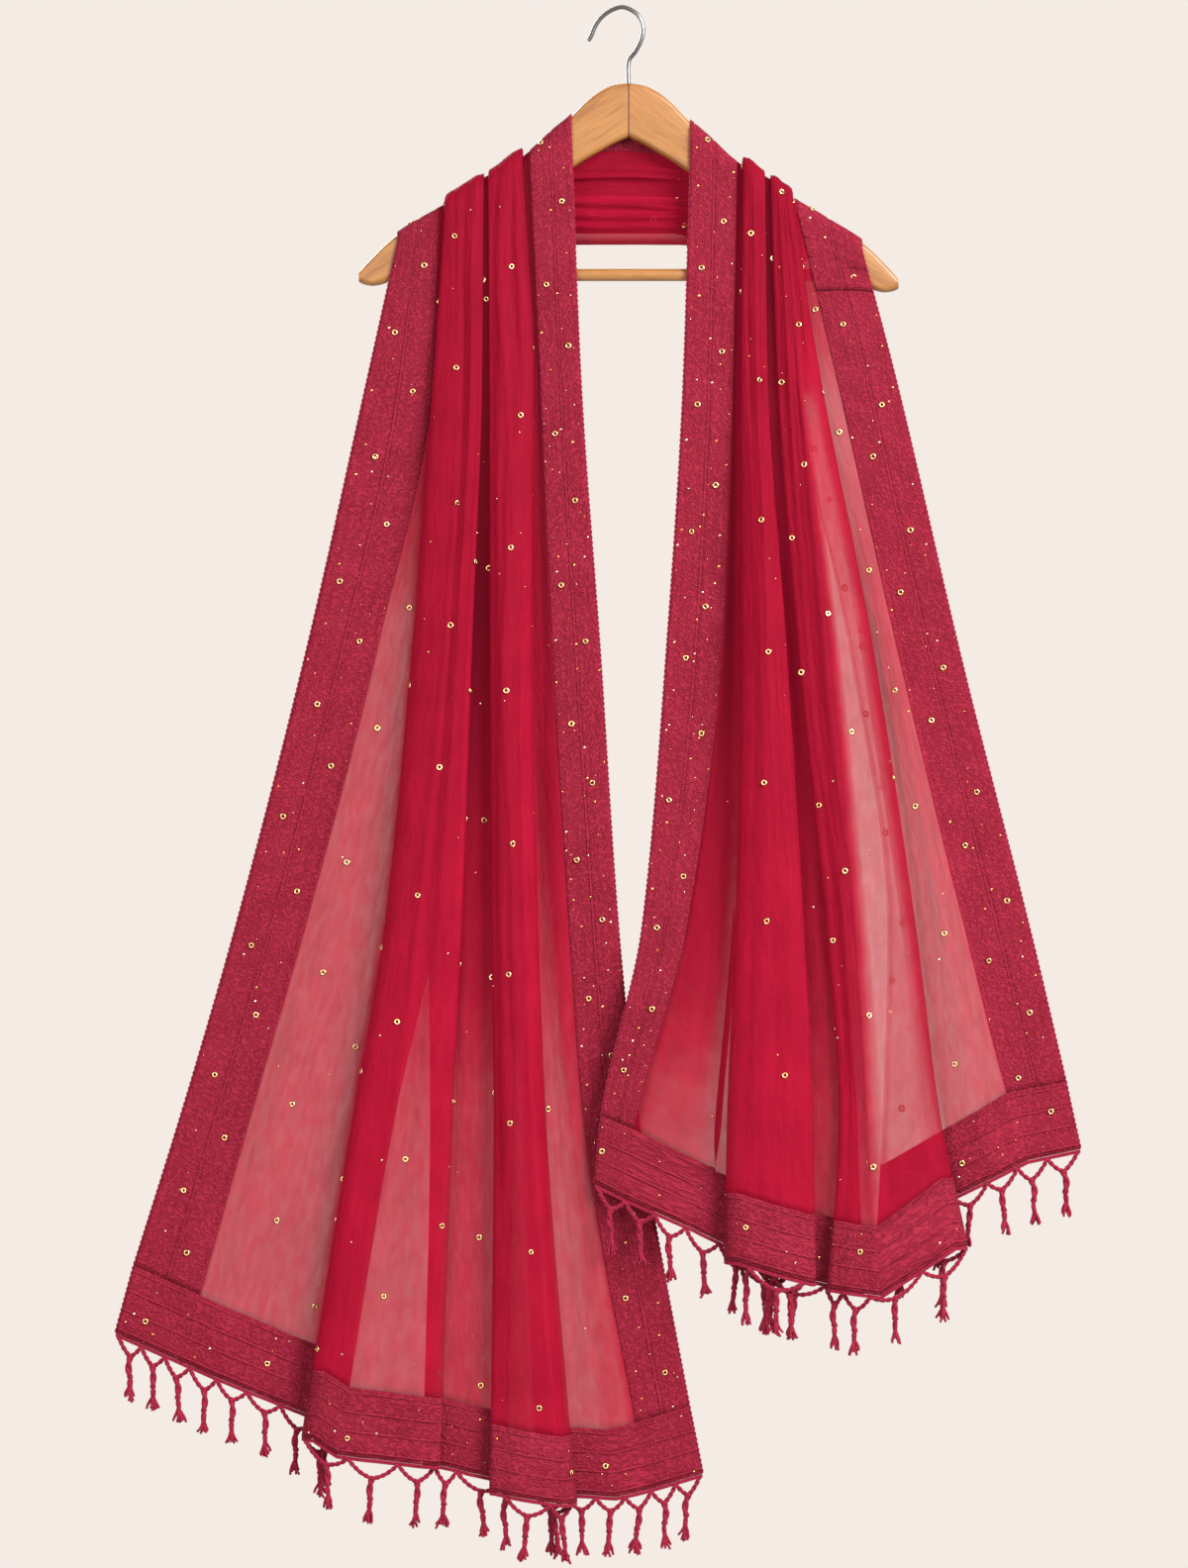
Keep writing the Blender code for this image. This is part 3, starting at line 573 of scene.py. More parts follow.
    def wrap(self, angle: float) -> tuple[np.ndarray, np.ndarray]:
        """A row of points over the arm.

        Args:
            angle: 0 at the front face and pi at the back.

        Returns:
            The points, and the way outwards at each.
        """
        radius = CLOTH.nearest + (INNERMOST - self.layer) * CLOTH.step_top
        rise = radius / self.cosine * math.sin(angle)
        points = np.stack((self.top_x, -radius * math.cos(angle), self.top_z + rise), axis=1)
        out = np.stack((np.zeros(STOPS.count), np.full(STOPS.count, -math.cos(angle)),
                        math.sin(angle) / self.cosine), axis=1)
        return points, unit(out)


LEFT = Fall(LEFT_LINES, 1, 0.0)
RIGHT = Fall(RIGHT_LINES, -1, 17.0 * MM)


@dataclass(frozen=True)
class BackSizes:
    """Sizes of the stretch behind the hanger, midway between the arms."""

    neck_lift: float = 20.0 * MM
    neck_lift_from: float = -170.0 * MM
    neck_lift_span: float = 60.0 * MM
    flap_bottom: float = -189.0 * MM
    flap_arc: float = 34.0 * MM
    flap_height: float = 44.0 * MM
    flap_slack: float = 0.45
    drops: tuple[float, float] = (0.0, 0.8)
    rolls: tuple[float, float] = (0.0, 0.5)
    turns: tuple[float, float] = (0.1, 0.8)
    reaches: tuple[float, float] = (0.4, 1.0)


class Back:
    """The stretch from one arm to the other, whose outer border turns up behind the gathers."""

    sizes = BackSizes()

    def __init__(self) -> None:
        """Finds the stretch's two ends and the columns at which it rolls up."""
        self.ends = LEFT.wrap(math.pi)[0], RIGHT.wrap(math.pi)[0]
        self.tuck = int(np.nonzero(STOPS.line == Line.TUCK)[0][0])
        share = np.where(STOPS.line == Line.SEAM, STOPS.share, np.inf)
        self.arc_start = int(np.argmin(np.abs(share - CLOTH.arc_share)))

    def row(self, u: float) -> tuple[np.ndarray, np.ndarray]:
        """A row of points.

        Args:
            u: 0 at the left arm and 1 at the right one.

        Returns:
            The points, and the way outwards at each.
        """
        sizes = self.sizes
        points = self.ends[0] * (1.0 - u) + self.ends[1] * u
        lift = sizes.neck_lift * math.sin(math.pi * u)
        points[:, 2] += lift * ease(0.0, sizes.neck_lift_span, points[:, 2] - sizes.neck_lift_from)
        middle = math.sin(math.pi * u) ** 2
        step = CLOTH.step_top + (CLOTH.step_back - CLOTH.step_top) * middle
        points[:, 1] = CLOTH.nearest + (INNERMOST - LEFT.layer) * step
        out = np.tile((0.0, 1.0, 0.0), (STOPS.count, 1))
        self.turn_up(points, out, middle)
        return points, out

    def turn_up(self, points: np.ndarray, out: np.ndarray, middle: float) -> None:
        """Drops the panel and turns the outer border up behind it.

        Args:
            points: the row's points, changed in place.
            out: the way outwards at each, changed in place.
            middle: 0 at the arms and 1 midway.
        """
        sizes = self.sizes
        tuck_z, start_z, end_z = (points[column, 2] for column in (self.tuck, self.arc_start, STOPS.seam))
        lowest = sizes.flap_bottom + sizes.flap_arc / math.pi
        arc_z = start_z + (lowest - start_z) * ease(*sizes.drops, middle)
        arc = start_z - end_z + (sizes.flap_arc - start_z + end_z) * ease(*sizes.rolls, middle)
        turn = math.pi * ease(*sizes.turns, middle)
        radius = arc / max(turn, 0.001)
        for column in range(self.tuck):
            share = STOPS.share[column]
            if STOPS.line[column] == Line.SEAM and share >= CLOTH.arc_share:
                points[column, 2] = tuck_z + (arc_z - tuck_z) * (1.0 - share) / (1.0 - CLOTH.arc_share)
                continue
            angle = arc / radius
            reach = 0.0
            if STOPS.line[column] == Line.SEAM:
                angle = arc * (1.0 - share / CLOTH.arc_share) / radius
            else:
                flat = end_z - points[column, 2]
                reach = flat + (sizes.flap_height * (1.0 - share) - flat) * ease(*sizes.reaches, middle)
                reach *= 1.0 - sizes.flap_slack * math.sin(turn)
            points[column, 1] += radius * (1.0 - math.cos(angle)) + reach * math.sin(turn)
            points[column, 2] = arc_z - radius * math.sin(angle) - reach * math.cos(turn)
            out[column] = (0.0, math.cos(angle), -math.sin(angle))


class Side(Enum):
    """The three stretches of the cloth."""

    LEFT = "left"
    BACK = "back"
    RIGHT = "right"


@dataclass
class Length:
    """The whole cloth as one grid: rows from hem to hem, columns from the outer edge to the inner one."""

    points: np.ndarray
    outward: np.ndarray
    along: np.ndarray
    across: np.ndarray
    # Rows at which the pieces meet
    left_band: int
    left_arm: int
    right_arm: int
    right_band: int

    @property
    def normals(self) -> np.ndarray:
        """The cloth's right side at each point."""
        return unit(np.cross(np.gradient(self.points, axis=1), np.gradient(self.points, axis=0)))

    def at(self, u: float, v: float, lift: float = 0.0) -> Matrix:
        """Place and facing of something sewn to the cloth's right side.

        Args:
            u: distance across the cloth from its outer edge.
            v: distance along it from the left hem.
            lift: how far it stands off.

        Returns:
            A matrix whose Z axis points away from the cloth and whose Y axis runs along it.
        """
        row = int(np.clip(np.searchsorted(self.along, v) - 1, 0, len(self.along) - 2))
        column = int(np.clip(np.searchsorted(self.across, u) - 1, 0, len(self.across) - 2))
        fv = (v - self.along[row]) / (self.along[row + 1] - self.along[row])
        fu = (u - self.across[column]) / (self.across[column + 1] - self.across[column])
        a, b = self.points[row, column], self.points[row, column + 1]
        c, d = self.points[row + 1, column], self.points[row + 1, column + 1]
        place = (a * (1 - fu) + b * fu) * (1 - fv) + (c * (1 - fu) + d * fu) * fv
        over, up = Vector((b + d - a - c).tolist()), Vector((c + d - a - b).tolist())
        facing = over.cross(up).normalized()
        up = up.normalized()
        turned = Matrix((up.cross(facing), up, facing)).transposed().to_4x4()
        turned.translation = Vector(place.tolist()) + facing * lift
        return turned

    def rows_of(self, side: Side) -> slice:
        """The rows of one stretch, its end band included."""
        ends = {Side.LEFT: (0, self.left_arm), Side.BACK: (self.left_arm, self.right_arm),
                Side.RIGHT: (self.right_arm, len(self.along) - 1)}
        first, last = ends[side]
        return slice(first, last + 1)


@dataclass(frozen=True)
class Gathering:
    """How many layers deep the cloth is at each point, where they lie too close together to be modelled.

    Drops are distances below the hook's crown, and every size is in metres.
    """

    limits: tuple[float, float] = (0.08, 6.0)
    kernel: tuple[float, float, float] = (0.25, 0.5, 0.25)
    # Right fall, at the edge of the first fold: the panel is denser beside it, which darkens its colour as
    # painted shade along the fold's edge, and lost under it.
    edge_reach: float = 11.0 * MM
    edge: float = 0.35
    edge_drops: tuple[float, float] = (0.3, 0.5)
    hidden_from: float = 3.0 * MM
    hidden: float = 0.9
    hidden_drops: tuple[float, float] = (0.25, 0.33)
    turn: float = 0.15
    turn_drops: tuple[float, float] = (0.22, 0.40)
    # Right fall, beside the outer seam: the panel is made denser, which deepens its colour as painted shade
    # where the border shades it.
    seam: float = 0.35
    seam_shares: tuple[float, float] = (0.05, 0.6)
    seam_drops: tuple[float, float] = (0.3, 0.6)
    # Left fall: across the edge of the first fold, where the panel's layers double
    lap: tuple[float, float] = (-4.0 * MM, 5.0 * MM)
    # Behind the hanger
    sag: float = 5.0 * MM
    streak: float = 0.2
    streak_height: float = 7.0 * MM
    streaks_across: float = 2.0
    streak_slant: float = 0.6
    seed: int = 47

    def layers(self, cloth: Length) -> np.ndarray:
        """The number of layers at each point of the cloth: 1 where it hangs flat."""
        result = np.empty(cloth.points.shape[:2])
        for side in (Side.LEFT, Side.RIGHT):
            rows = cloth.rows_of(side)
            result[rows] = self.on_fall(cloth.points[rows], side)
        back = cloth.rows_of(Side.BACK)
        result[back] = self.behind(cloth.points[back])
        return np.clip(result, *self.limits)

    def on_fall(self, points: np.ndarray, side: Side) -> np.ndarray:
        """The layers on one fall.

        Args:
            points: the fall's rows.
            side: which fall it is.

        Returns:
            A number for each point.
        """
        table = np.array([*LAYERS[side.value].values(), LAYERS[side.value][Line.INNER_SEAM]])
        drops = -points[:, :, 2]
        columns = [np.interp(drops[:, k], LAYER_DROPS, table[STOPS.line[k]]) for k in range(STOPS.count)]
        layers = np.apply_along_axis(lambda row: np.convolve(np.pad(row, 1, "edge"), self.kernel, "valid"), 1,
                                     np.stack(columns, axis=1))
        panel, fold = STOPS.line == Line.SEAM, STOPS.line == Line.FOLD_A
        folded = points[:, fold, 0]
        if side is Side.LEFT:
            return layers * (1.0 + ease(*self.lap, points[:, :, 0] - folded.min(axis=1)[:, None]) * panel)
        # Where the first fold lies over the outer panel, only one of the two shows.
        past = points[:, :, 0] - folded.max(axis=1)[:, None]
        edge = np.exp(-(past / self.edge_reach) ** 2) * ease(*self.edge_drops, drops)
        hidden = ease(self.hidden_from, self.edge_reach, -past) * ease(*self.hidden_drops, drops)
        turn = (fold & STOPS.turning) * ease(*self.turn_drops, drops)
        seam = (1.0 - ease(*self.seam_shares, STOPS.share)) * ease(*self.seam_drops, drops)
        layers *= (1.0 + self.edge * panel * edge) * (1.0 - self.hidden * panel * hidden)
        return layers * (1.0 - self.turn * turn) * (1.0 + self.seam * panel * seam)

    def behind(self, points: np.ndarray) -> np.ndarray:
        """The layers between the arms, in streaks that sag towards the middle."""
        u = np.linspace(0.0, 1.0, len(points))[:, None]
        drops = -points[:, :, 2]
        sag = self.sag * np.sin(math.pi * u)
        streaks = soft_noise(self.streaks_across * u, drops / self.streak_height + self.streak_slant * u,
                             self.seed)
        return np.interp(drops - sag, *NECK_LAYERS) * (1.0 + self.streak * streaks)


class Drift(NamedTuple):
    """Random drift of a wave: its size, its length along the cloth and its shift from line to line."""

    size: float
    length: float
    shift: float


class Crinkle(NamedTuple):
    """Random relief: its height, the width and length of its cells and their slant."""

    height: float
    width: float
    length: float
    slant: float = 0.0


@dataclass(frozen=True)
class Drape:
    """Gathers, crinkles and listed creases that are laid over the cloth's plain form."""

    turn_reach: float = 0.22
    lowered: tuple[float, float] = (0.25, 0.8)
    # Gathers are lower and broader over the arms.
    arm_share: float = 0.6
    arm_span: float = 70.0 * MM
    line_shift: float = 1.9
    drift: Drift = Drift(2.6, 160.0 * MM, 3.7)
    overtone: float = 0.22
    overtone_pitch: float = 2.3
    overtone_drift: Drift = Drift(1.7, 60.0 * MM, 5.3)
    broad_count: float = 0.4
    broad_shift: float = 1.3
    coarse: Crinkle = Crinkle(0.42 * MM, 16.0 * MM, 46.0 * MM, 0.35)
    fine: Crinkle = Crinkle(0.2 * MM, 9.0 * MM, 26.0 * MM, -0.35)
    pucker: Crinkle = Crinkle(0.3 * MM, 13.0 * MM, 15.0 * MM)
    patches: Crinkle = Crinkle(0.45, 70.0 * MM, 100.0 * MM)
    fade_in: float = 90.0 * MM
    fade_out: float = 70.0 * MM
    pleat_rise: float = 0.17
    pleat_spread: float = 2.4
    seed: int = 31

    def gathers(self, cloth: Length) -> np.ndarray:
        """How far the lengthwise waves of the gathered runs move each point outwards."""
        along = cloth.along[:, None]
        high, low, count = (STOPS.pick([getattr(run, field) for run in RUNS.values()] + [0.0])
                            for field in ("high", "low", "gathers"))
        lowered = ease(*self.lowered, -cloth.points[:, :, 2])
        arms = cloth.along[[cloth.left_arm, cloth.right_arm]]
        away = ease(0.0, self.arm_span, np.abs(along - arms).min(axis=1)[:, None])
        height = (high * (1.0 - lowered) + low * lowered) * MM
        height *= self.arm_share + (1.0 - self.arm_share) * away
        drift, finer = (
            item.size * soft_noise(along / item.length, STOPS.line * item.shift, self.seed + index)
            for index, item in enumerate((self.drift, self.overtone_drift)))
        phase = 2.0 * math.pi * count * STOPS.share + STOPS.line * self.line_shift + drift
        waves = (1.0 - self.overtone) * np.sin(phase)
        waves += self.overtone * np.sin(self.overtone_pitch * phase + finer)
        broad = np.sin(2.0 * math.pi * self.broad_count * count * STOPS.share + STOPS.line * self.broad_shift)
        return height * (0.5 + 0.5 * (broad + (waves - broad) * away)) * STOPS.window(self.turn_reach)

    def crinkles(self, cloth: Length) -> np.ndarray:
        """Small uneven crinkles of the sheer cloth, and puckers of the worked borders."""
        u, v = cloth.across, cloth.along[:, None]
        coarse, fine, pucker, patches = (
            item.height * soft_noise((u + item.slant * v) / item.width, (v - item.slant * u) / item.length,
                                     self.seed + index)
            for index, item in enumerate((self.coarse, self.fine, self.pucker, self.patches), 2))
        sheer = (STOPS.line >= Line.SEAM) & (STOPS.line < Line.INNER_SEAM)
        moved = np.where(sheer, (1.0 - self.patches.height + patches) * (coarse + fine), pucker)
        return moved * STOPS.window(self.turn_reach)

    def place(self, points: np.ndarray, item: Crease | Pleat) -> tuple[slice, np.ndarray, np.ndarray]:
        """Where a crease or pleat runs.

        Args:
            points: the rows of the fall that it lies on.
            item: the crease or pleat.

        Returns:
            Its columns, the distance of their points from its middle in widths, and its strength at each.
        """
        run = np.nonzero((STOPS.line == item.line) & STOPS.flat)[0]
        columns = slice(run[0], run[-1] + 1)
        x, z = points[:, columns, 0], points[:, columns, 2].mean(axis=1)
        share = item.share_top + (item.share_foot - item.share_top) * np.clip(
            (z - item.top * MM) / ((item.foot - item.top) * MM), 0.0, 1.0)
        middle = np.array([np.interp(at, STOPS.share[columns], row) for at, row in zip(share, x)])
        strength = ease(0.0, self.fade_in, item.top * MM - z) * ease(0.0, self.fade_out, z - item.foot * MM)
        return (columns, (x - middle[:, None]) / (item.width * MM),
                strength[:, None] * STOPS.window(self.turn_reach)[columns])

    def lay(self, cloth: Length, creases: dict[Side, Sequence[Crease]],
            pleats: dict[Side, Sequence[Pleat]]) -> None:
        """Moves the points of the cloth.

        Args:
            cloth: changed in place.
            creases: those of each fall.
            pleats: those of each fall.
        """
        moved = self.gathers(cloth) + self.crinkles(cloth)
        sideways = np.zeros_like(moved)
        for side in (Side.LEFT, Side.RIGHT):
            rows = cloth.rows_of(side)
            points = cloth.points[rows]
            for crease in creases[side]:
                columns, distance, strength = self.place(points, crease)
                moved[rows, columns] += crease.depth * MM * strength * np.exp(-0.5 * distance ** 2)
            for pleat in pleats[side]:
                columns, distance, strength = self.place(points, pleat)
                overhang = pleat.overhang * MM * strength * distance
                moved[rows, columns] += (self.pleat_rise * overhang
                                         * np.exp(-0.5 * (distance / self.pleat_spread) ** 2))
                sideways[rows, columns] -= overhang * np.exp(-0.5 * distance ** 2)
        back = cloth.rows_of(Side.BACK)
        moved[back] -= NeckGathers().over(cloth.points[back])
        cloth.points = cloth.points + cloth.outward * moved[:, :, None]
        cloth.points[:, :, 0] += sideways


@dataclass(frozen=True)
class NeckGathers:
    """Gathers towards the front between the arms, below the wood, where the layer on the wood is in sight."""

    height: float = 4.2 * MM
    drops: tuple[float, float] = (0.118, 0.135)
    panel_waves: float = 3.6
    inner_waves: float = 1.5
    drift: float = 0.8
    drifts_across: float = 2.2
    drift_height: float = 12.0 * MM
    bow: float = 0.7
    fade: float = 0.7
    turn_reach: float = 0.2
    seed: int = 37

    def over(self, points: np.ndarray) -> np.ndarray:
        """How far each point between the arms moves forward."""
        u = np.linspace(0.0, 1.0, len(points))[:, None]
        innermost = STOPS.pick([run.layer for run in RUNS.values()] + [0.0]) == INNERMOST
        panel = (STOPS.line == Line.SEAM) & (STOPS.share > CLOTH.arc_share)
        seen = innermost & (panel | (STOPS.line == Line.TUCK_B) | (STOPS.line == Line.CREASE))
        waves = np.where(STOPS.line == Line.SEAM, self.panel_waves, self.inner_waves) * STOPS.share
        places = points[:, :, 2].mean(axis=0) / self.drift_height
        drift = self.drift * soft_noise(u * self.drifts_across, places, self.seed)
        shape = 0.5 + 0.5 * np.sin(2.0 * math.pi * (waves + drift + self.bow * np.sin(math.pi * u)))
        below = ease(*self.drops, -points[:, :, 2]) * np.sin(math.pi * u) ** self.fade
        return self.height * seen * below * shape * STOPS.window(self.turn_reach)


@dataclass(frozen=True)
class Grid:
    """Numbers of rows along the cloth."""

    wrap: int = 11
    left_fall: int = 150
    right_fall: int = 130
    back: int = 44
    band: int = 9


GRID = Grid()


def lengths_along(points: np.ndarray, axis: int) -> np.ndarray:
    """Mean distance run along one axis of a grid, from its start."""
    steps = np.linalg.norm(np.diff(points, axis=axis), axis=2).mean(axis=1 - axis)
    return np.concatenate(([0.0], np.cumsum(steps)))


def fall_rows(fall: Fall, count: int) -> list[tuple[np.ndarray, np.ndarray]]:
    """Rows from behind the arm down to the hem, without the first one behind the arm.

    Args:
        fall: the fall.
        count: rows between the arm and the end band.

    Returns:
        The points and the ways outwards of each row.
    """
    rows = [fall.wrap(math.pi * (1.0 - k / GRID.wrap)) for k in range(1, GRID.wrap)]
    rows += [fall.hang(fall.band_top * k / count) for k in range(count)]
    rows += [fall.hang(1.0 - (1.0 - fall.band_top) * (1.0 - k / GRID.band)) for k in range(GRID.band + 1)]
    return rows


def drape_cloth() -> Length:
    """The whole cloth with its gathers and creases."""
    back = Back()
    left = fall_rows(LEFT, GRID.left_fall)[::-1]
    middle = [back.row(k / GRID.back) for k in range(GRID.back + 1)]
    rows = left + middle + fall_rows(RIGHT, GRID.right_fall)
    points, outward = (np.array(part) for part in zip(*rows))
    lower = points[:GRID.band + GRID.left_fall]
    left_arm = len(left)
    cloth = Length(points, outward, lengths_along(points, 0), lengths_along(lower, 1), GRID.band, left_arm,
                   left_arm + GRID.back, len(rows) - 1 - GRID.band)
    Drape().lay(cloth, {Side.LEFT: LEFT_CREASES, Side.RIGHT: RIGHT_CREASES},
                {Side.LEFT: LEFT_PLEATS, Side.RIGHT: RIGHT_PLEATS})
    return cloth


# Finishes

Colour = tuple[float, float, float]
Value = float | Sequence[float] | Socket
PLAIN = (1.0, 1.0, 1.0)
LEVEL = (0.0, 0.0, 0.0)
# Distance between two bands of a wave texture at scale 1
WAVE_PERIOD = math.pi / 10.0


class Grain(NamedTuple):
    """Noise in a finish: cells in a metre, detail, warp, then its stretch along the piece and its slant."""

    scale: float
    detail: float = 3.0
    warp: float = 0.0
    stretch: float = 1.0
    slant: float = 0.0


def greys(stops: Sequence[tuple[float, float]]) -> list[tuple[float, Colour]]:
    """Ramp stops whose colours are plain values."""
    return [(place, (value, value, value)) for place, value in stops]


class Paint:
    """A procedural material and the nodes that feed its shader."""

    def __init__(self, name: str, values: dict[str, Value]) -> None:
        """Starts a material.

        Args:
            name: its name.
            values: constants on the shader's own sockets.
        """
        self.material = bpy.data.materials.new(name)
        self.material.use_nodes = True
        self.tree = self.material.node_tree
        self.shader = self.tree.nodes["Principled BSDF"]
        self.feed(self.shader, values)

    def feed(self, node: Node, inputs: dict[str | int, Value]) -> None:
        """Sets the inputs of a node, or links them where a socket is given."""
        for key, value in inputs.items():
            if isinstance(value, Socket):
                self.tree.links.new(value, node.inputs[key])
            else:
                node.inputs[key].default_value = value

    def node(self, kind: str, output: str | int, inputs: dict[str | int, Value],
             **settings: object) -> Socket:
        """Adds a node.

        Args:
            kind: its type.
            output: which of its sockets is wanted.
            inputs: a value or a socket for each input that matters.
            settings: its other properties.

        Returns:
            The output socket.
        """
        node = self.tree.nodes.new(kind)
        for key, value in settings.items():
            setattr(node, key, value)
        self.feed(node, inputs)
        return node.outputs[output]

    def mapped(self, source: str | Socket, scale: Colour = PLAIN, turn: Colour = LEVEL) -> Socket:
        """Coordinates, scaled and turned.

        Args:
            source: Object, UV for the piece's own map, or coordinates to map further.
            scale: factor on each axis.
            turn: rotation in radians.

        Returns:
            The vector socket.
        """
        if source == "UV":
            source = self.node("ShaderNodeUVMap", source, {}, uv_map=UV_NAME)
        elif isinstance(source, str):
            source = self.node("ShaderNodeTexCoord", source, {})
        return self.node("ShaderNodeMapping", "Vector", {"Vector": source, "Scale": scale, "Rotation": turn})

    def noise(self, grain: Grain, source: str | Socket = "UV") -> Socket:
        """Noise factor.

        Args:
            grain: its sizes.
            source: UV or Object, or coordinates that are already mapped.

        Returns:
            The factor socket.
        """
        if isinstance(source, str):
            source = self.mapped(source, (1.0, grain.stretch, 1.0), (0.0, 0.0, grain.slant))
        return self.node("ShaderNodeTexNoise", "Fac", {"Vector": source, "Scale": grain.scale,
                                                       "Detail": grain.detail, "Distortion": grain.warp})

    def bands(self, vector: Socket, period: float, axis: str) -> Socket:
        """Regular bands.

        Args:
            vector: coordinates in metres.
            period: distance between bands, in metres.
            axis: X or Y, the axis that they cross.

        Returns:
            The factor socket.
        """
        return self.node("ShaderNodeTexWave", "Fac", {"Vector": vector, "Scale": WAVE_PERIOD / period},
                         bands_direction=axis)

    def maths(self, operation: str, first: Value, second: Value = 0.0) -> Socket:
        """One arithmetic step."""
        return self.node("ShaderNodeMath", 0, {0: first, 1: second}, operation=operation)

    def total(self, *parts: tuple[Socket, float]) -> Socket:
        """Sum of sockets, each times its weight."""
        result, *others = [self.maths("MULTIPLY", socket, weight) for socket, weight in parts]
        for other in others:
            result = self.maths("ADD", result, other)
        return result

    def ramp(self, factor: Socket, stops: Sequence[tuple[float, Colour]], constant: bool = False) -> Socket:
        """Colour ramp over a factor.

        Args:
            factor: what it reads.
            stops: places and their colours.
            constant: whether the colours meet sharply.

        Returns:
            The colour socket.
        """
        result = self.node("ShaderNodeValToRGB", "Color", {"Fac": factor})
        band = result.node.color_ramp
        band.interpolation = "CONSTANT" if constant else "LINEAR"
        first, last = band.elements
        first.position, last.position = stops[0][0], stops[-1][0]
        first.color, last.color = (*stops[0][1], 1.0), (*stops[-1][1], 1.0)
        for place, colour in stops[1:-1]:
            band.elements.new(place).color = (*colour, 1.0)
        return result

    def blend(self, kind: str, first: Socket, second: Socket, factor: Value = 1.0) -> Socket:
        """Two colours as one.

        Args:
            kind: MIX or MULTIPLY.
            first: the colour below.
            second: the colour laid over it.
            factor: how much of the second shows.

        Returns:
            The colour socket.
        """
        return self.node("ShaderNodeMix", "Result", {"Factor": factor, "A": first, "B": second},
                         data_type="RGBA", blend_type=kind)

    def line_at(self, vector: Socket, axis: str, place: float, width: float) -> Socket:
        """A soft line.

        Args:
            vector: coordinates in metres.
            axis: X or Y, the axis that the line crosses.
            place: where it crosses it.
            width: of the line.

        Returns:
            The factor socket: 1 on the line and 0 away from it.
        """
        across = self.node("ShaderNodeSeparateXYZ", axis, {0: vector})
        away = self.maths("ABSOLUTE", self.maths("SUBTRACT", across, place))
        near = self.maths("ADD", self.maths("MULTIPLY", away, -2.0 / width), 1.0)
        return self.maths("MAXIMUM", near, 0.0)

    def finish(self, colour: Socket, height: Optional[Socket] = None, distance: float = 0.0,
               strength: float = 1.0) -> Material:
        """Gives the shader its colour and relief.

        Args:
            colour: the base colour.
            height: the relief, if there is any.
            distance: how deep the relief is.
            strength: how much of it shows.

        Returns:
            The material.
        """
        self.feed(self.shader, {"Base Color": colour})
        if height is not None:
            relief = {"Height": height, "Distance": distance, "Strength": strength}
            self.feed(self.shader, {"Normal": self.node("ShaderNodeBump", "Normal", relief)})
        return self.material


@dataclass(frozen=True)
class SheerFinish:
    """Fine crinkled chiffon that shows what is behind it, less so where it is gathered."""

    thread: Colour = (0.225, 0.0040, 0.0180)
    deep: Colour = (0.140, 0.0018, 0.0100)
    tones: tuple[float, float] = (0.24, 0.72)
    glow: Colour = (0.60, 0.008, 0.040)
    glow_strength: float = 0.21
    layer_depth_and_painted_shade: tuple[tuple[float, float], ...] = ((0.15, 0.98), (0.40, 0.64), (0.62, 0.50), (1.0, 0.06))
    shade_layers: float = 6.0
    open_share: float = 0.33
    unevenness: tuple[tuple[float, float], ...] = ((0.34, 0.93), (0.66, 1.12))
    roughness: float = 0.6
    gloss: float = 0.02
    wrinkles: Grain = Grain(210.0, 3.0, 0.5, 0.22, 0.25)
    crinkles: Grain = Grain(240.0, 3.0, 0.6, 0.35, 0.3)
    streaks: Grain = Grain(380.0, stretch=0.06)
    clouds: Grain = Grain(26.0)
    weave: float = 0.9 * MM
    relief: float = 1.1 * MM

    def make(self) -> Material:
        """The finish as a material."""
        # Painted glow: a little emission in the cloth's own colour, the same all over, stands in for light
        # that shines through the thin cloth from behind.
        paint = Paint("sheer_chiffon", {"Roughness": self.roughness, "Specular IOR Level": self.gloss,
                                        "Emission Color": (*self.glow, 1.0),
                                        "Emission Strength": self.glow_strength})
        gathered = paint.node("ShaderNodeAttribute", "Fac", {}, attribute_name=DENSITY_NAME)
        wrinkles = paint.noise(self.wrinkles)
        layers = paint.maths("MULTIPLY", gathered, paint.ramp(wrinkles, greys(self.unevenness)))
        cover = paint.maths("SUBTRACT", 1.0, paint.maths("POWER", self.open_share, layers))
        paint.feed(paint.shader, {"Alpha": cover})
        cloth = paint.mapped("UV")
        tone = paint.maths("MULTIPLY", paint.maths("ADD", paint.noise(self.streaks),
                                                   paint.noise(self.clouds, cloth)), 0.5)
        colour = paint.ramp(tone, list(zip(self.tones, (self.deep, self.thread))))
        # Painted shade and light: the colour is multiplied down as the layer count rises, to almost black at
        # six layers, which paints the shade in the deep valleys between folds, while thin cloth stays bright
        # as if lit through; more layers of dyed cloth are also really deeper in colour.
        depth = paint.maths("MULTIPLY", gathered, 1.0 / self.shade_layers)
        colour = paint.blend("MULTIPLY", colour, paint.ramp(depth, greys(self.layer_depth_and_painted_shade)))
        weave = paint.maths("ADD", paint.bands(cloth, self.weave, "X"), paint.bands(cloth, self.weave, "Y"))
        height = paint.total((paint.noise(self.crinkles), 1.0), (wrinkles, 1.1), (weave, 0.05))
        return paint.finish(colour, height, self.relief, 0.8)


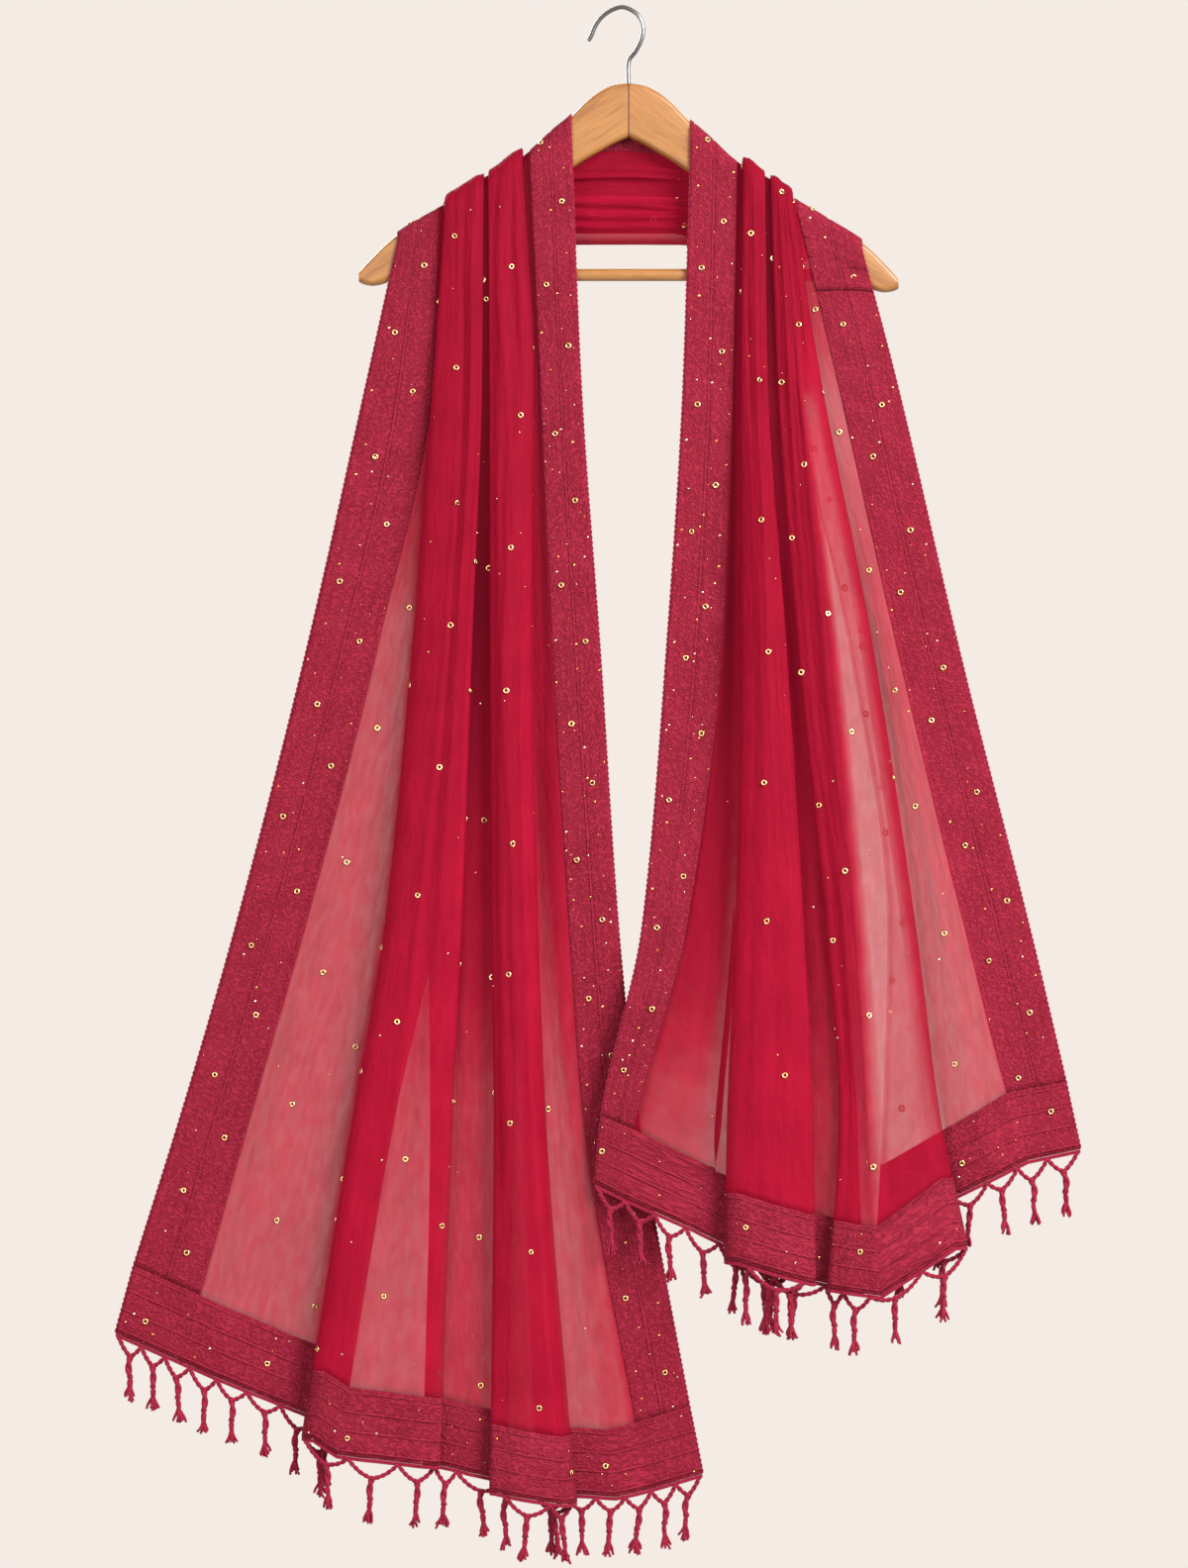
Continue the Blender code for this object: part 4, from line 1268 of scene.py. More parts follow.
@dataclass(frozen=True)
class ThreadworkFinish:
    """Opaque cloth covered with wandering raised thread, ribbed along its length."""

    name: str
    ribs: str
    seams: tuple[float, ...]
    # Ends of the colour ramp over the relief: ground for its hollows, in painted shade, and raised for the
    # thread tops, with a painted highlight.
    raised: Colour = (0.205, 0.0110, 0.0275)
    ground: Colour = (0.112, 0.0032, 0.0115)
    tones: tuple[float, float, float] = (0.22, 0.48, 0.78)
    roughness: float = 0.75
    gloss: float = 0.08
    wander: Grain = Grain(290.0, 1.0, 0.5)
    turns: float = 3.0
    fibres: Grain = Grain(900.0, 2.0)
    stitches: Grain = Grain(420.0, 1.0, 0.0, 0.35, 0.8)
    patches: Grain = Grain(30.0)
    seam_width: float = 2.4 * MM
    seam_sides: float = 2.6
    rib: float = 8.6 * MM
    relief: float = 1.8 * MM

    def make(self) -> Material:
        """The finish as a material."""
        paint = Paint(self.name, {"Roughness": self.roughness, "Specular IOR Level": self.gloss})
        cloth = paint.mapped("UV")
        turns = paint.maths("MULTIPLY", paint.noise(self.wander, cloth), 2.0 * math.pi * self.turns)
        parts = [(paint.noise(self.fibres, cloth), 0.35), (paint.bands(cloth, self.rib, self.ribs), 0.08),
                 (paint.maths("SINE", turns), 0.20), (paint.noise(self.stitches), 0.22)]
        for seam in self.seams:
            parts += [(paint.line_at(cloth, self.ribs, seam, self.seam_width), 0.85),
                      (paint.line_at(cloth, self.ribs, seam, self.seam_sides * self.seam_width), -0.30)]
        height = paint.total(*parts)
        # Painted shade and highlight: the colour follows the relief, darker in its hollows and beside each
        # seam line, lighter on the raised thread and on the seam lines, over the cloth's own red; the patches
        # vary it at random.
        tone = paint.total((height, 0.72), (paint.noise(self.patches, cloth), 0.42))
        middle = tuple((a + b) / 2 for a, b in zip(self.raised, self.ground))
        colour = paint.ramp(tone, list(zip(self.tones, (self.ground, middle, self.raised))))
        return paint.finish(colour, height, self.relief, 0.9)


@dataclass(frozen=True)
class TwistFinish:
    """Twisted fringe thread."""

    light: Colour = (0.21, 0.007, 0.027)
    dark: Colour = (0.10, 0.0018, 0.010)
    fibres: Grain = Grain(900.0)
    relief: float = 0.3 * MM

    def make(self) -> Material:
        """The finish as a material."""
        paint = Paint("fringe_thread", {"Roughness": 0.7, "Sheen Weight": 0.05, "Specular IOR Level": 0.08})
        fibres = paint.noise(self.fibres, "Object")
        colour = paint.ramp(fibres, [(0.35, self.dark), (0.62, self.light)])
        return paint.finish(colour, fibres, self.relief, 0.8)


@dataclass(frozen=True)
class MetalFinish:
    """Polished or brushed metal with a little uneven gloss."""

    name: str
    bright: Colour
    dull: Colour
    smooth: float
    rough: float
    grain: Grain

    def make(self) -> Material:
        """The finish as a material."""
        paint = Paint(self.name, {"Metallic": 1.0})
        grain = paint.noise(self.grain, "Object")
        gloss = paint.maths("ADD", paint.maths("MULTIPLY", grain, self.rough - self.smooth), self.smooth)
        paint.feed(paint.shader, {"Roughness": gloss})
        return paint.finish(paint.ramp(grain, [(0.35, self.dull), (0.65, self.bright)]))


@dataclass(frozen=True)
class FleckFinish:
    """Tiny foil specks, some copper, some gold and some silver."""

    copper: Colour = (0.52, 0.17, 0.06)
    gold: Colour = (0.62, 0.40, 0.12)
    silver: Colour = (0.58, 0.45, 0.34)
    mix: Grain = Grain(140.0, 0.0)

    def make(self) -> Material:
        """The finish as a material."""
        paint = Paint("foil_flecks", {"Metallic": 1.0, "Roughness": 0.25})
        stops = [(0.0, self.copper), (0.42, self.gold), (0.55, self.silver)]
        return paint.finish(paint.ramp(paint.noise(self.mix, "Object"), stops, True))


@dataclass(frozen=True)
class WoodFinish:
    """Varnished honey wood with grain along the piece."""

    name: str
    turn: float
    jointed: bool = True
    light: Colour = (0.232, 0.100, 0.0215)
    mid: Colour = (0.200, 0.079, 0.0155)
    dark: Colour = (0.155, 0.056, 0.0105)
    joint: Colour = (0.045, 0.014, 0.004)
    joint_width: float = 2.4 * MM
    stretch: float = 0.09
    figure: Grain = Grain(90.0, 4.0, 0.8)
    fibre: Grain = Grain(620.0)
    relief: float = 0.15 * MM

    def make(self) -> Material:
        """The finish as a material."""
        paint = Paint(self.name, {"Roughness": 0.42, "Coat Weight": 0.15, "Coat Roughness": 0.22})
        along = paint.mapped(paint.mapped("Object", turn=(0.0, self.turn, 0.0)), (self.stretch, 1.0, 1.0))
        fibre = paint.noise(self.fibre, along)
        tone = paint.maths("MULTIPLY", paint.maths("ADD", paint.noise(self.figure, along), fibre), 0.5)
        colour = paint.ramp(tone, [(0.36, self.dark), (0.47, self.mid), (0.62, self.light)])
        if self.jointed:
            seam = paint.line_at(paint.mapped("Object"), "X", HANGER.centre, self.joint_width)
            colour = paint.blend("MIX", colour, paint.ramp(seam, [(0.0, self.joint)]), seam)
        return paint.finish(colour, fibre, self.relief, 0.4)


# Pieces


def placed(name: str, data: bpy.types.ID) -> Object:
    """A new object in the scene, at the origin."""
    item = bpy.data.objects.new(name, data)
    bpy.context.scene.collection.objects.link(item)
    return item


def finish_piece(piece: Object, material: Material, slot: Slot,
                 replaced: Sequence[str] = ()) -> Object:
    """Dresses a piece and ties it to the frame.

    Args:
        piece: the object.
        material: its finish.
        slot: the record's slot; not used.
        replaced: CAD nodes that it stands for.

    Returns:
        The same object.
    """
    piece.data.materials.clear()
    piece.data.materials.append(material)
    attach(piece, BODY)
    if replaced:
        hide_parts(*replaced)
    LOG.info("%s: %d faces", piece.name, len(piece.data.polygons))
    return piece


def object_from(name: str, bm: BMesh) -> Object:
    """A smooth-shaded object of a bmesh, at the origin."""
    mesh = bpy.data.meshes.new(name)
    bm.to_mesh(mesh)
    bm.free()
    mesh.shade_smooth()
    return placed(name, mesh)


def grow(bm: BMesh, edges: Sequence[BMEdge],
         place: Callable[[BMVert], Vector]) -> list[BMEdge]:
    """Extrudes a loop of edges.

    Args:
        bm: the mesh they are in.
        edges: the loop.
        place: where each new corner goes.

    Returns:
        The new loop.
    """
    grown = bmesh.ops.extrude_edge_only(bm, edges=edges)["geom"]
    for vert in (item for item in grown if isinstance(item, BMVert)):
        vert.co = place(vert)
    return [item for item in grown if isinstance(item, BMEdge)]


def open_edges(bm: BMesh) -> list[BMEdge]:
    """The edges at which a mesh is open."""
    return [edge for edge in bm.edges if edge.is_boundary]


def loft(sections: Sequence[Sequence[Vector]]) -> BMesh:
    """A closed body through rings with the same number of corners.

    Args:
        sections: the rings, in order.

    Returns:
        The mesh.
    """
    bm = bmesh.new()
    bmesh.ops.create_circle(bm, segments=len(sections[0]), radius=1.0)
    bm.verts.ensure_lookup_table()
    corner = bm.verts.layers.int.new("corner")
    for index, vert in enumerate(bm.verts):
        vert[corner] = index
        vert.co = sections[0][index]
    edges = bm.edges[:]
    for section in sections[1:]:
        edges = grow(bm, edges, lambda vert, section=section: section[vert[corner]])
    bmesh.ops.holes_fill(bm, edges=open_edges(bm), sides=0)
    bmesh.ops.recalc_face_normals(bm, faces=bm.faces)
    return bm


def sheet_object(name: str, points: np.ndarray, across: np.ndarray, along: np.ndarray,
                 thickness: float, density: Optional[np.ndarray] = None) -> Object:
    """A thin shell about a grid of points, with a map in metres across and along the cloth.

    Args:
        name: the object's name.
        points: rows by columns of places.
        across: the map's first value at each column.
        along: its second value at each row.
        thickness: of the shell.
        density: how many layers deep the cloth is at each point, kept as an attribute.

    Returns:
        The object.
    """
    rows, columns = points.shape[:2]
    bm = bmesh.new()
    bmesh.ops.create_grid(bm, x_segments=columns - 1, y_segments=rows - 1, size=1.0)
    bm.verts.ensure_lookup_table()
    for vert, place in zip(bm.verts, points.reshape(-1, 3)):
        vert.co = place
    uv = bm.loops.layers.uv.new(UV_NAME)
    for face in bm.faces:
        for loop in face.loops:
            row, column = divmod(loop.vert.index, columns)
            loop[uv].uv = (across[column], along[row])
    piece = object_from(name, bm)
    if density is not None:
        layer = piece.data.attributes.new(DENSITY_NAME, "FLOAT", "POINT")
        layer.data.foreach_set("value", density.ravel())
    shell = piece.modifiers.new("thickness", "SOLIDIFY")
    shell.thickness = thickness
    shell.offset = 0.0
    return piece


class Cut(NamedTuple):
    """Rows and columns of the cloth that make one piece."""

    first_row: int
    last_row: int
    first: int
    last: int


@dataclass
class ClothPieces:
    """The sheer ground, the borders and the end bands."""

    cloth: Length
    # The lapped join in the right outer border, in rows from the arm
    join_drop: int = 10
    join_over: int = 2
    join_under: int = 7
    join_skew: float = 5.4
    join_slant: float = 12.0
    join_lift: float = 1.3 * MM
    join_rise: tuple[int, int] = (5, 1)
    groove_depth: float = 0.55 * MM
    groove_width: float = 0.025
    band_lift: float = 0.35 * MM
    band_stitches: tuple[float, ...] = (0.07, 0.36, 0.64, 0.93)

    def build(self) -> dict[str, Object]:
        """Makes every piece of cloth.

        Returns:
            The pieces by name.
        """
        cloth, end = self.cloth, STOPS.count - 1
        left, right = cloth.left_band, cloth.right_band
        ground = self.shell("sheer_length", Cut(left, right, STOPS.seam, STOPS.inner_seam), CLOTH.sheer_wall,
                            dense=True)
        finish_piece(ground, SheerFinish().make(), Slot.SHEER,
                     ["left_fall_ground", "back_ground", "right_fall_ground"])
        pieces = {ground.name: ground}
        work, inner_work = (
            ThreadworkFinish(f"{name}_threadwork", "X", (cloth.across[[first, last]].mean(),)).make()
            for name, first, last in (("outer", 0, STOPS.seam), ("inner", STOPS.inner_seam, -1)))
        join = cloth.right_arm + GRID.wrap + self.join_drop
        for name, node, first_row, last_row, lift in (
                ("left", "left_outer_border", left, cloth.left_arm, 0.0),
                ("back", "back_outer_border", cloth.left_arm, cloth.right_arm, 0.0),
                ("right_upper", "right_outer_border_upper", cloth.right_arm, join + self.join_over,
                 self.join_lift),
                ("right_lower", "right_outer_border_lower", join - self.join_under, right, 0.0)):
            piece = self.border(f"outer_border_{name}", Cut(first_row, last_row, 0, STOPS.seam), lift)
            pieces[piece.name] = finish_piece(piece, work, Slot.BORDER, [node])
        for side in Side:
            rows = cloth.rows_of(side)
            cut = Cut(max(rows.start, left), min(rows.stop - 1, right), STOPS.inner_seam, end)
            piece = self.border(f"inner_border_{side.value}", cut)
            pieces[piece.name] = finish_piece(piece, inner_work, Slot.BORDER, [f"{side.value}_inner_border"])
        for side, first_row, last_row in ((Side.LEFT, 0, left), (Side.RIGHT, right, len(cloth.along) - 1)):
            piece = self.shell(f"end_band_{side.value}", Cut(first_row, last_row, 0, end), CLOTH.border_wall,
                               self.band_lift)
            low, high = cloth.along[first_row], cloth.along[last_row]
            stitched = tuple(low + (high - low) * share for share in self.band_stitches)
            band_work = ThreadworkFinish(f"band_threadwork_{side.value}", "Y", stitched).make()
            pieces[piece.name] = finish_piece(piece, band_work, Slot.BORDER, [f"{side.value}_end_band"])
        return pieces

    def shell(self, name: str, cut: Cut, thickness: float, lift: float | np.ndarray = 0.0,
              dense: bool = False, skew: float = 0.0) -> Object:
        """A piece of the cloth as a thin shell.

        Args:
            name: the object's name.
            cut: which part of the cloth it is.
            thickness: of the shell.
            lift: how far it stands off the cloth's right side, one value or one a point.
            dense: whether it keeps how closely it is gathered.
            skew: rows by which its last end is cut short at its first column.

        Returns:
            The object.
        """
        rows, columns = slice(cut.first_row, cut.last_row + 1), slice(cut.first, cut.last + 1)
        points, normals = self.cloth.points[rows, columns], self.cloth.normals[rows, columns]
        if skew:
            points, normals = self.skewed(points, skew), self.skewed(normals, skew)
        points = points + normals * np.broadcast_to(lift, points.shape[:2])[:, :, None]
        density = Gathering().layers(self.cloth)[rows, columns] if dense else None
        return sheet_object(name, points, self.cloth.across[columns], self.cloth.along[rows], thickness,
                            density)

    def skewed(self, values: np.ndarray, skew: float) -> np.ndarray:
        """The rows, drawn back towards the first column so that the last one runs aslant."""
        rows, columns = (np.arange(count) for count in values.shape[:2])
        back = skew * ease(rows[-1] + 1.0 - self.join_slant, rows[-1], rows)[:, None]
        place = rows[:, None] - back * (1.0 - columns / columns[-1])
        low = np.clip(np.floor(place).astype(int), 0, rows[-1] - 1)
        part = (place - low)[:, :, None]
        return values[low, columns] * (1.0 - part) + values[low + 1, columns] * part

    def border(self, name: str, cut: Cut, lift: float = 0.0) -> Object:
        """A border strip with a sunk seam along its middle.

        Args:
            name: the object's name.
            cut: which part of the cloth it is.
            lift: how far its last rows stand off the cloth, for a lapped join.

        Returns:
            The object.
        """
        u = self.cloth.across[cut.first:cut.last + 1]
        place = (u - u[0]) / (u[-1] - u[0])
        groove = -self.groove_depth * np.exp(-((place - 0.5) / self.groove_width) ** 2)
        rise = (cut.last_row - rows for rows in self.join_rise)
        raised = lift * ease(*rise, np.arange(cut.first_row, cut.last_row + 1))
        return self.shell(name, cut, CLOTH.border_wall, groove[None, :] + raised[:, None],
                          skew=self.join_skew if lift else 0.0)


class Twist(NamedTuple):
    """Two plies: the radius of each and its distance from the middle in mm, and the length of a full turn."""

    radius: float
    lay: float
    pitch: float


class Strands:
    """Many fine round strands as one mesh."""

    def __init__(self, name: str, roundness: int = 1) -> None:
        """Starts an empty mesh of strands.

        Args:
            name: of the object that they make.
            roundness: 0 for the fewest sides, and more for rounder strands.
        """
        self.name = name
        self.curve = bpy.data.curves.new(name, "CURVE")
        self.curve.dimensions = "3D"
        self.curve.bevel_depth = MM
        self.curve.bevel_resolution = roundness
        self.curve.use_fill_caps = True

    def add(self, points: Sequence[Vector], radii: Sequence[float]) -> None:
        """One strand.

        Args:
            points: its places.
            radii: its radius at each, in mm.
        """
        spline = self.curve.splines.new("POLY")
        spline.points.add(len(points) - 1)
        for item, place, radius in zip(spline.points, points, radii):
            item.co = (*place, 1.0)
            item.radius = radius

    def wind(self, points: Sequence[Vector], twist: Twist) -> None:
        """Two plies wound about a path.

        Args:
            points: the path's places, closely spaced.
            twist: sizes of the plies.
        """
        for ply in (0.0, math.pi):
            run = 0.0
            wound = []
            for index, place in enumerate(points):
                if index:
                    run += (place - points[index - 1]).length
                ahead = points[min(index + 1, len(points) - 1)] - points[max(index - 1, 0)]
                side = Vector((0.0, 1.0, 0.0))
                other = ahead.normalized().cross(side).normalized()
                angle = ply + 2.0 * math.pi * run / twist.pitch
                wound.append(place + (side * math.sin(angle) + other * math.cos(angle)) * twist.lay * MM)
            self.add(wound, [twist.radius] * len(wound))

    def piece(self) -> Object:
        """The strands as a mesh object."""
        holder = placed(f"{self.name}_curve", self.curve)
        mesh = bpy.data.meshes.new_from_object(holder.evaluated_get(bpy.context.evaluated_depsgraph_get()))
        bpy.data.objects.remove(holder)
        mesh.name = self.name
        mesh.shade_smooth()
        return placed(self.name, mesh)


def run_along(path: np.ndarray) -> np.ndarray:
    """Distance along a path to each of its points."""
    return np.concatenate(([0.0], np.cumsum(np.linalg.norm(np.diff(path, axis=0), axis=1))))


def read_along(places: np.ndarray, run: np.ndarray, values: np.ndarray) -> np.ndarray:
    """A path's vectors, read at other distances along it."""
    return np.stack([np.interp(places, run, column) for column in values.T], axis=1)


def shake(chance: random.Random, x: float, y: float) -> Vector:
    """A random step sideways, of up to x and y in mm."""
    return Vector((chance.uniform(-x, x), chance.uniform(-y, y), 0.0)) * MM


@dataclass
class Fringe:
    """Knotted tassels along one hem. Radii, shakes, bows and curls are in mm, and lengths in metres."""

    cloth: Length
    side: Side
    seed: int
    tassels: int = 24
    heading_drops: tuple[float, float] = (1.1 * MM, 2.5 * MM)
    heading_radius: float = 0.85
    root_drop: float = 2.5 * MM
    root_inset: float = 2.5 * MM
    crowding: float = 0.35
    knot_drop: float = 12.0 * MM
    knot_shake: float = 1.5
    knot_radii: tuple[float, ...] = (1.4, 2.4, 2.8, 2.5, 1.8)
    arm_twist: Twist = Twist(1.25, 0.85, 10.0 * MM)
    arm_steps: int = 12
    arm_sag: float = 0.10
    tip_drop: float = 48.0 * MM
    sway: float = 4.0 * MM
    stem_twist: Twist = Twist(1.95, 1.0, 19.0 * MM)
    stem_steps: int = 15
    stem_bow: float = 1.6
    binding_radii: tuple[float, ...] = (1.5, 2.6, 2.6, 1.5)
    loose_length: float = 19.0 * MM
    loose_strands: int = 9
    loose_spread: tuple[float, float] = (2.0 * MM, 5.8 * MM)
    loose_depth: float = 0.7
    loose_reach: tuple[float, float] = (0.8, 1.08)
    loose_curl: float = 1.3
    loose_bend: float = 0.35
    loose_radii: tuple[float, ...] = (1.3, 1.3, 1.3, 1.25, 1.15, 1.0)

    def build(self) -> Object:
        """Makes the fringe as one piece."""
        strands = Strands(f"fringe_{self.side.value}")
        hem = self.cloth.points[0 if self.side is Side.LEFT else -1]
        down = Vector((0.0, 0.0, -1.0))
        for drop in self.heading_drops:
            heading = [Vector(place) + down * drop for place in hem.tolist()]
            strands.add(heading, [self.heading_radius] * len(hem))
        sways, chance = random.Random(self.seed), random.Random(self.seed + 1)
        roots = self.roots(hem)
        for first, second in zip(roots, roots[1:]):
            sway = Vector((sways.uniform(-self.sway, self.sway), 0.0, 0.0))
            drop = self.knot_drop + chance.uniform(-self.knot_shake, self.knot_shake) * MM
            knot = first.lerp(second, 0.5) + down * drop + shake(chance, 1.0, 1.0)
            for root in (first, second):
                self.arm(strands, root, knot)
            self.tassel(strands, knot, sway, chance)
        return finish_piece(strands.piece(), TwistFinish().make(), Slot.FRINGE, [f"{self.side.value}_fringe"])

    def roots(self, hem: np.ndarray) -> list[Vector]:
        """Places under the folded hem, closer together towards its two corners."""
        shares = np.arange(self.tassels + 1) / self.tassels
        shares -= self.crowding * np.sin(2.0 * math.pi * shares) / (2.0 * math.pi)
        run = run_along(hem)
        places = read_along(self.root_inset + (run[-1] - 2 * self.root_inset) * shares, run, hem)
        return [Vector(place) for place in (places - (0.0, 0.0, self.root_drop)).tolist()]

    def arm(self, strands: Strands, root: Vector, knot: Vector) -> None:
        """A thin two-ply cord from the heading to the knot, sagging a little."""
        sag = Vector((0.0, 0.0, -self.arm_sag * (knot - root).length))
        shares = [k / self.arm_steps for k in range(self.arm_steps + 1)]
        path = [root.lerp(knot, share) + sag * math.sin(math.pi * share) for share in shares]
        strands.wind(path, self.arm_twist)

    def tassel(self, strands: Strands, knot: Vector, sway: Vector, chance: random.Random) -> None:
        """The knot, the twisted stem and the loose ends below it.

        Args:
            strands: where they go.
            knot: the knot's middle.
            sway: how far the tip hangs to one side.
            chance: for what varies from one tassel to the next.
        """
        down = Vector((0.0, 0.0, -1.0)) * MM
        strands.add([knot + down * (k - 2.0) for k in range(len(self.knot_radii))], self.knot_radii)
        tip = knot + sway + Vector((0.0, 0.0, self.knot_drop - self.tip_drop))
        split = 1.0 - self.loose_length / (tip - knot).length
        bow = shake(chance, self.stem_bow, 1.0)
        shares = [k / self.stem_steps for k in range(self.stem_steps + 1)]
        stem = [knot.lerp(tip, split * share) + bow * math.sin(math.pi * share) for share in shares]
        strands.wind(stem, self.stem_twist)
        foot = stem[-1]
        binding = [foot + down * (0.8 * k - 1.2) for k in range(len(self.binding_radii))]
        strands.add(binding, self.binding_radii)
        last = len(self.loose_radii) - 1
        for k in range(self.loose_strands):
            angle = 2.0 * math.pi * k / self.loose_strands + chance.uniform(-0.4, 0.4)
            spread = chance.uniform(*self.loose_spread)
            end = foot + (tip - foot) * chance.uniform(*self.loose_reach)
            out = Vector((math.cos(angle), math.sin(angle) * self.loose_depth, 0.0)) * spread
            curl = shake(chance, self.loose_curl, self.loose_curl)
            path = [foot.lerp(end + out, share) - out * self.loose_bend * math.sin(math.pi * share)
                    + curl * math.sin(2.0 * math.pi * share) for share in (j / last for j in range(last + 1))]
            strands.add(path, self.loose_radii)


@dataclass
class Edging:
    """Small scalloped stitches along one free edge of the cloth."""

    cloth: Length
    column: int
    name: str
    period: float = 4.4 * MM
    spacing: float = 1.1 * MM
    height: float = 0.6 * MM
    thin: float = 0.5
    swell: float = 0.28

    def build(self) -> Object:
        """Makes the edging as one piece."""
        edge = self.cloth.points[:, self.column]
        inner = self.cloth.points[:, 1 if self.column == 0 else self.column - 1]
        run = run_along(edge)
        places = np.arange(0.0, run[-1], self.spacing)
        wave = np.abs(np.sin(math.pi * places / self.period))
        out = read_along(places, run, unit(edge - inner))
        path = read_along(places, run, edge) + out * self.height * wave[:, None]
        strands = Strands(self.name, 0)
        strands.add([Vector(place) for place in path.tolist()], (self.thin + self.swell * wave).tolist())
        return finish_piece(strands.piece(), TwistFinish().make(), Slot.BORDER)


class Field(NamedTuple):
    """Cloth to strew with flecks: its ends across and along, then their pitch, lift and share of places."""

    low: float
    high: float
    first: float
    last: float
    pitch: float
    lift: float
    share: float


@dataclass
class Spangles:
    """Gold rings and foil flecks sewn over the whole cloth."""

    cloth: Length
    ring_radius: float = 2.85 * MM
    rim_radius: float = 1.8 * MM
    hole_radius: float = 1.05 * MM
    ring_corners: int = 10
    ring_tilt: float = 0.16
    ring_sizes: tuple[float, float] = (0.9, 1.06)
    ring_pitch: float = 76.0 * MM
    row_pitch: float = 0.72
    ring_shake: float = 9.0 * MM
    sheer_starts: tuple[float, float] = (0.8, 0.3)
    sheer_margins: tuple[float, float, float] = (26.0 * MM, 15.0 * MM, 10.0 * MM)
    border_pitch: float = 58.0 * MM
    border_start: float = 30.0 * MM
    border_places: tuple[float, float] = (0.7, 0.3)
    border_shake: float = 0.06
    border_pitches: tuple[float, float] = (0.85, 1.15)
    band_places: tuple[float, float] = (0.4, 0.5)
    band_start: float = 20.0 * MM
    band_shake: float = 8.0 * MM
    band_pitches: tuple[float, float] = (0.8, 1.1)
    ring_lifts: tuple[float, float, float] = (0.45 * MM, 0.75 * MM, 1.1 * MM)
    fleck_radii: tuple[float, ...] = (0.55, 0.7, 0.9, 1.15)
    fleck_tilt: float = 0.4
    fleck_pitch: float = 34.0 * MM
    border_fleck_pitch: float = 13.0 * MM
    fleck_lifts: tuple[float, float, float] = (0.35 * MM, 0.6 * MM, 0.95 * MM)
    gold: MetalFinish = MetalFinish("gold_spangle", (0.84, 0.64, 0.30), (0.60, 0.40, 0.14), 0.16, 0.30,
                                    Grain(900.0, 2.0))
    seed: int = 5

    def build(self) -> list[Object]:
        """Makes the rings and the flecks, each kind as one piece."""
        chance = random.Random(self.seed)
        rings, flecks = bmesh.new(), bmesh.new()
        template = self.ring()
        for u, v, lift in self.ring_places(chance):
            turn = self.tilted(chance, self.ring_tilt, "X") @ self.tilted(chance, self.ring_tilt, "Y")
            copy = template.copy()
            size = Matrix.Scale(chance.uniform(*self.ring_sizes), 4)
            copy.transform(self.cloth.at(u, v, lift) @ turn @ size)
            rings.from_mesh(copy)
            bpy.data.meshes.remove(copy)
        bpy.data.meshes.remove(template)
        for u, v, lift in self.fleck_places(chance):
            radius = chance.choice(self.fleck_radii) * MM
            place = self.cloth.at(u, v, lift) @ self.tilted(chance, self.fleck_tilt, "X")
            bmesh.ops.create_cone(flecks, cap_ends=True, segments=5, radius1=radius, radius2=radius * 0.8,
                                  depth=0.3 * MM, matrix=place)
        return [finish_piece(object_from("spangles", rings), self.gold.make(), Slot.SEQUIN),
                finish_piece(object_from("foil_flecks", flecks), FleckFinish().make(), Slot.SEQUIN)]

    def tilted(self, chance: random.Random, most: float, axis: str) -> Matrix:
        """A random turn about an axis."""
        return Matrix.Rotation(chance.uniform(-most, most), 4, axis)

    def ring(self) -> Mesh:
        """A dished ring with a round hole, lying in XY."""
        bm = bmesh.new()
        bmesh.ops.create_circle(bm, segments=self.ring_corners, radius=self.hole_radius,
                                matrix=Matrix.Translation((0.0, 0.0, 0.1 * MM)))
        edges = bm.edges[:]
        for radius, height in ((self.rim_radius, 0.8 * MM), (self.ring_radius, 0.3 * MM),
                               (self.rim_radius, -0.1 * MM)):
            edges = grow(bm, edges, lambda vert, radius=radius, height=height: (
                Vector((vert.co.x, vert.co.y, 0.0)).normalized() * radius + Vector((0.0, 0.0, height))))
        bmesh.ops.bridge_loops(bm, edges=open_edges(bm))
        bmesh.ops.recalc_face_normals(bm, faces=bm.faces)
        mesh = bpy.data.meshes.new("ring")
        bm.to_mesh(mesh)
        bm.free()
        return mesh

    def ring_places(self, chance: random.Random) -> Iterable[tuple[float, float, float]]:
        """Across, along and lift of every ring: staggered rows on the sheer, a zigzag down the borders."""
        cloth, shaken = self.cloth, self.ring_shake
        start, end = cloth.along[cloth.left_band], cloth.along[cloth.right_band]
        seam, inner, width = cloth.across[STOPS.seam], cloth.across[STOPS.inner_seam], cloth.across[-1]
        on_sheer, on_border, on_band = self.ring_lifts
        above, below, beside = self.sheer_margins
        row, v = 0, start + above
        while v < end - below:
            u = seam + self.sheer_starts[row % 2] * self.ring_pitch
            while u < inner - beside:
                yield u + chance.uniform(-shaken, shaken), v + chance.uniform(-shaken, shaken), on_sheer
                u += self.ring_pitch
            v += self.ring_pitch * self.row_pitch
            row += 1
        for low, high in ((0.0, seam), (inner, width)):
            row, v = 0, start + self.border_start
            while v < end:
                share = self.border_places[row % 2] + chance.uniform(-self.border_shake, self.border_shake)
                yield low + (high - low) * share, v, on_border
                v += self.border_pitch * chance.uniform(*self.border_pitches)
                row += 1
        left, right = self.band_places
        for v in (left * start, end + right * (cloth.along[-1] - end)):
            u = self.band_start
            while u < width:
                yield u, v + chance.uniform(-self.band_shake, self.band_shake), on_band
                u += self.ring_pitch * chance.uniform(*self.band_pitches)

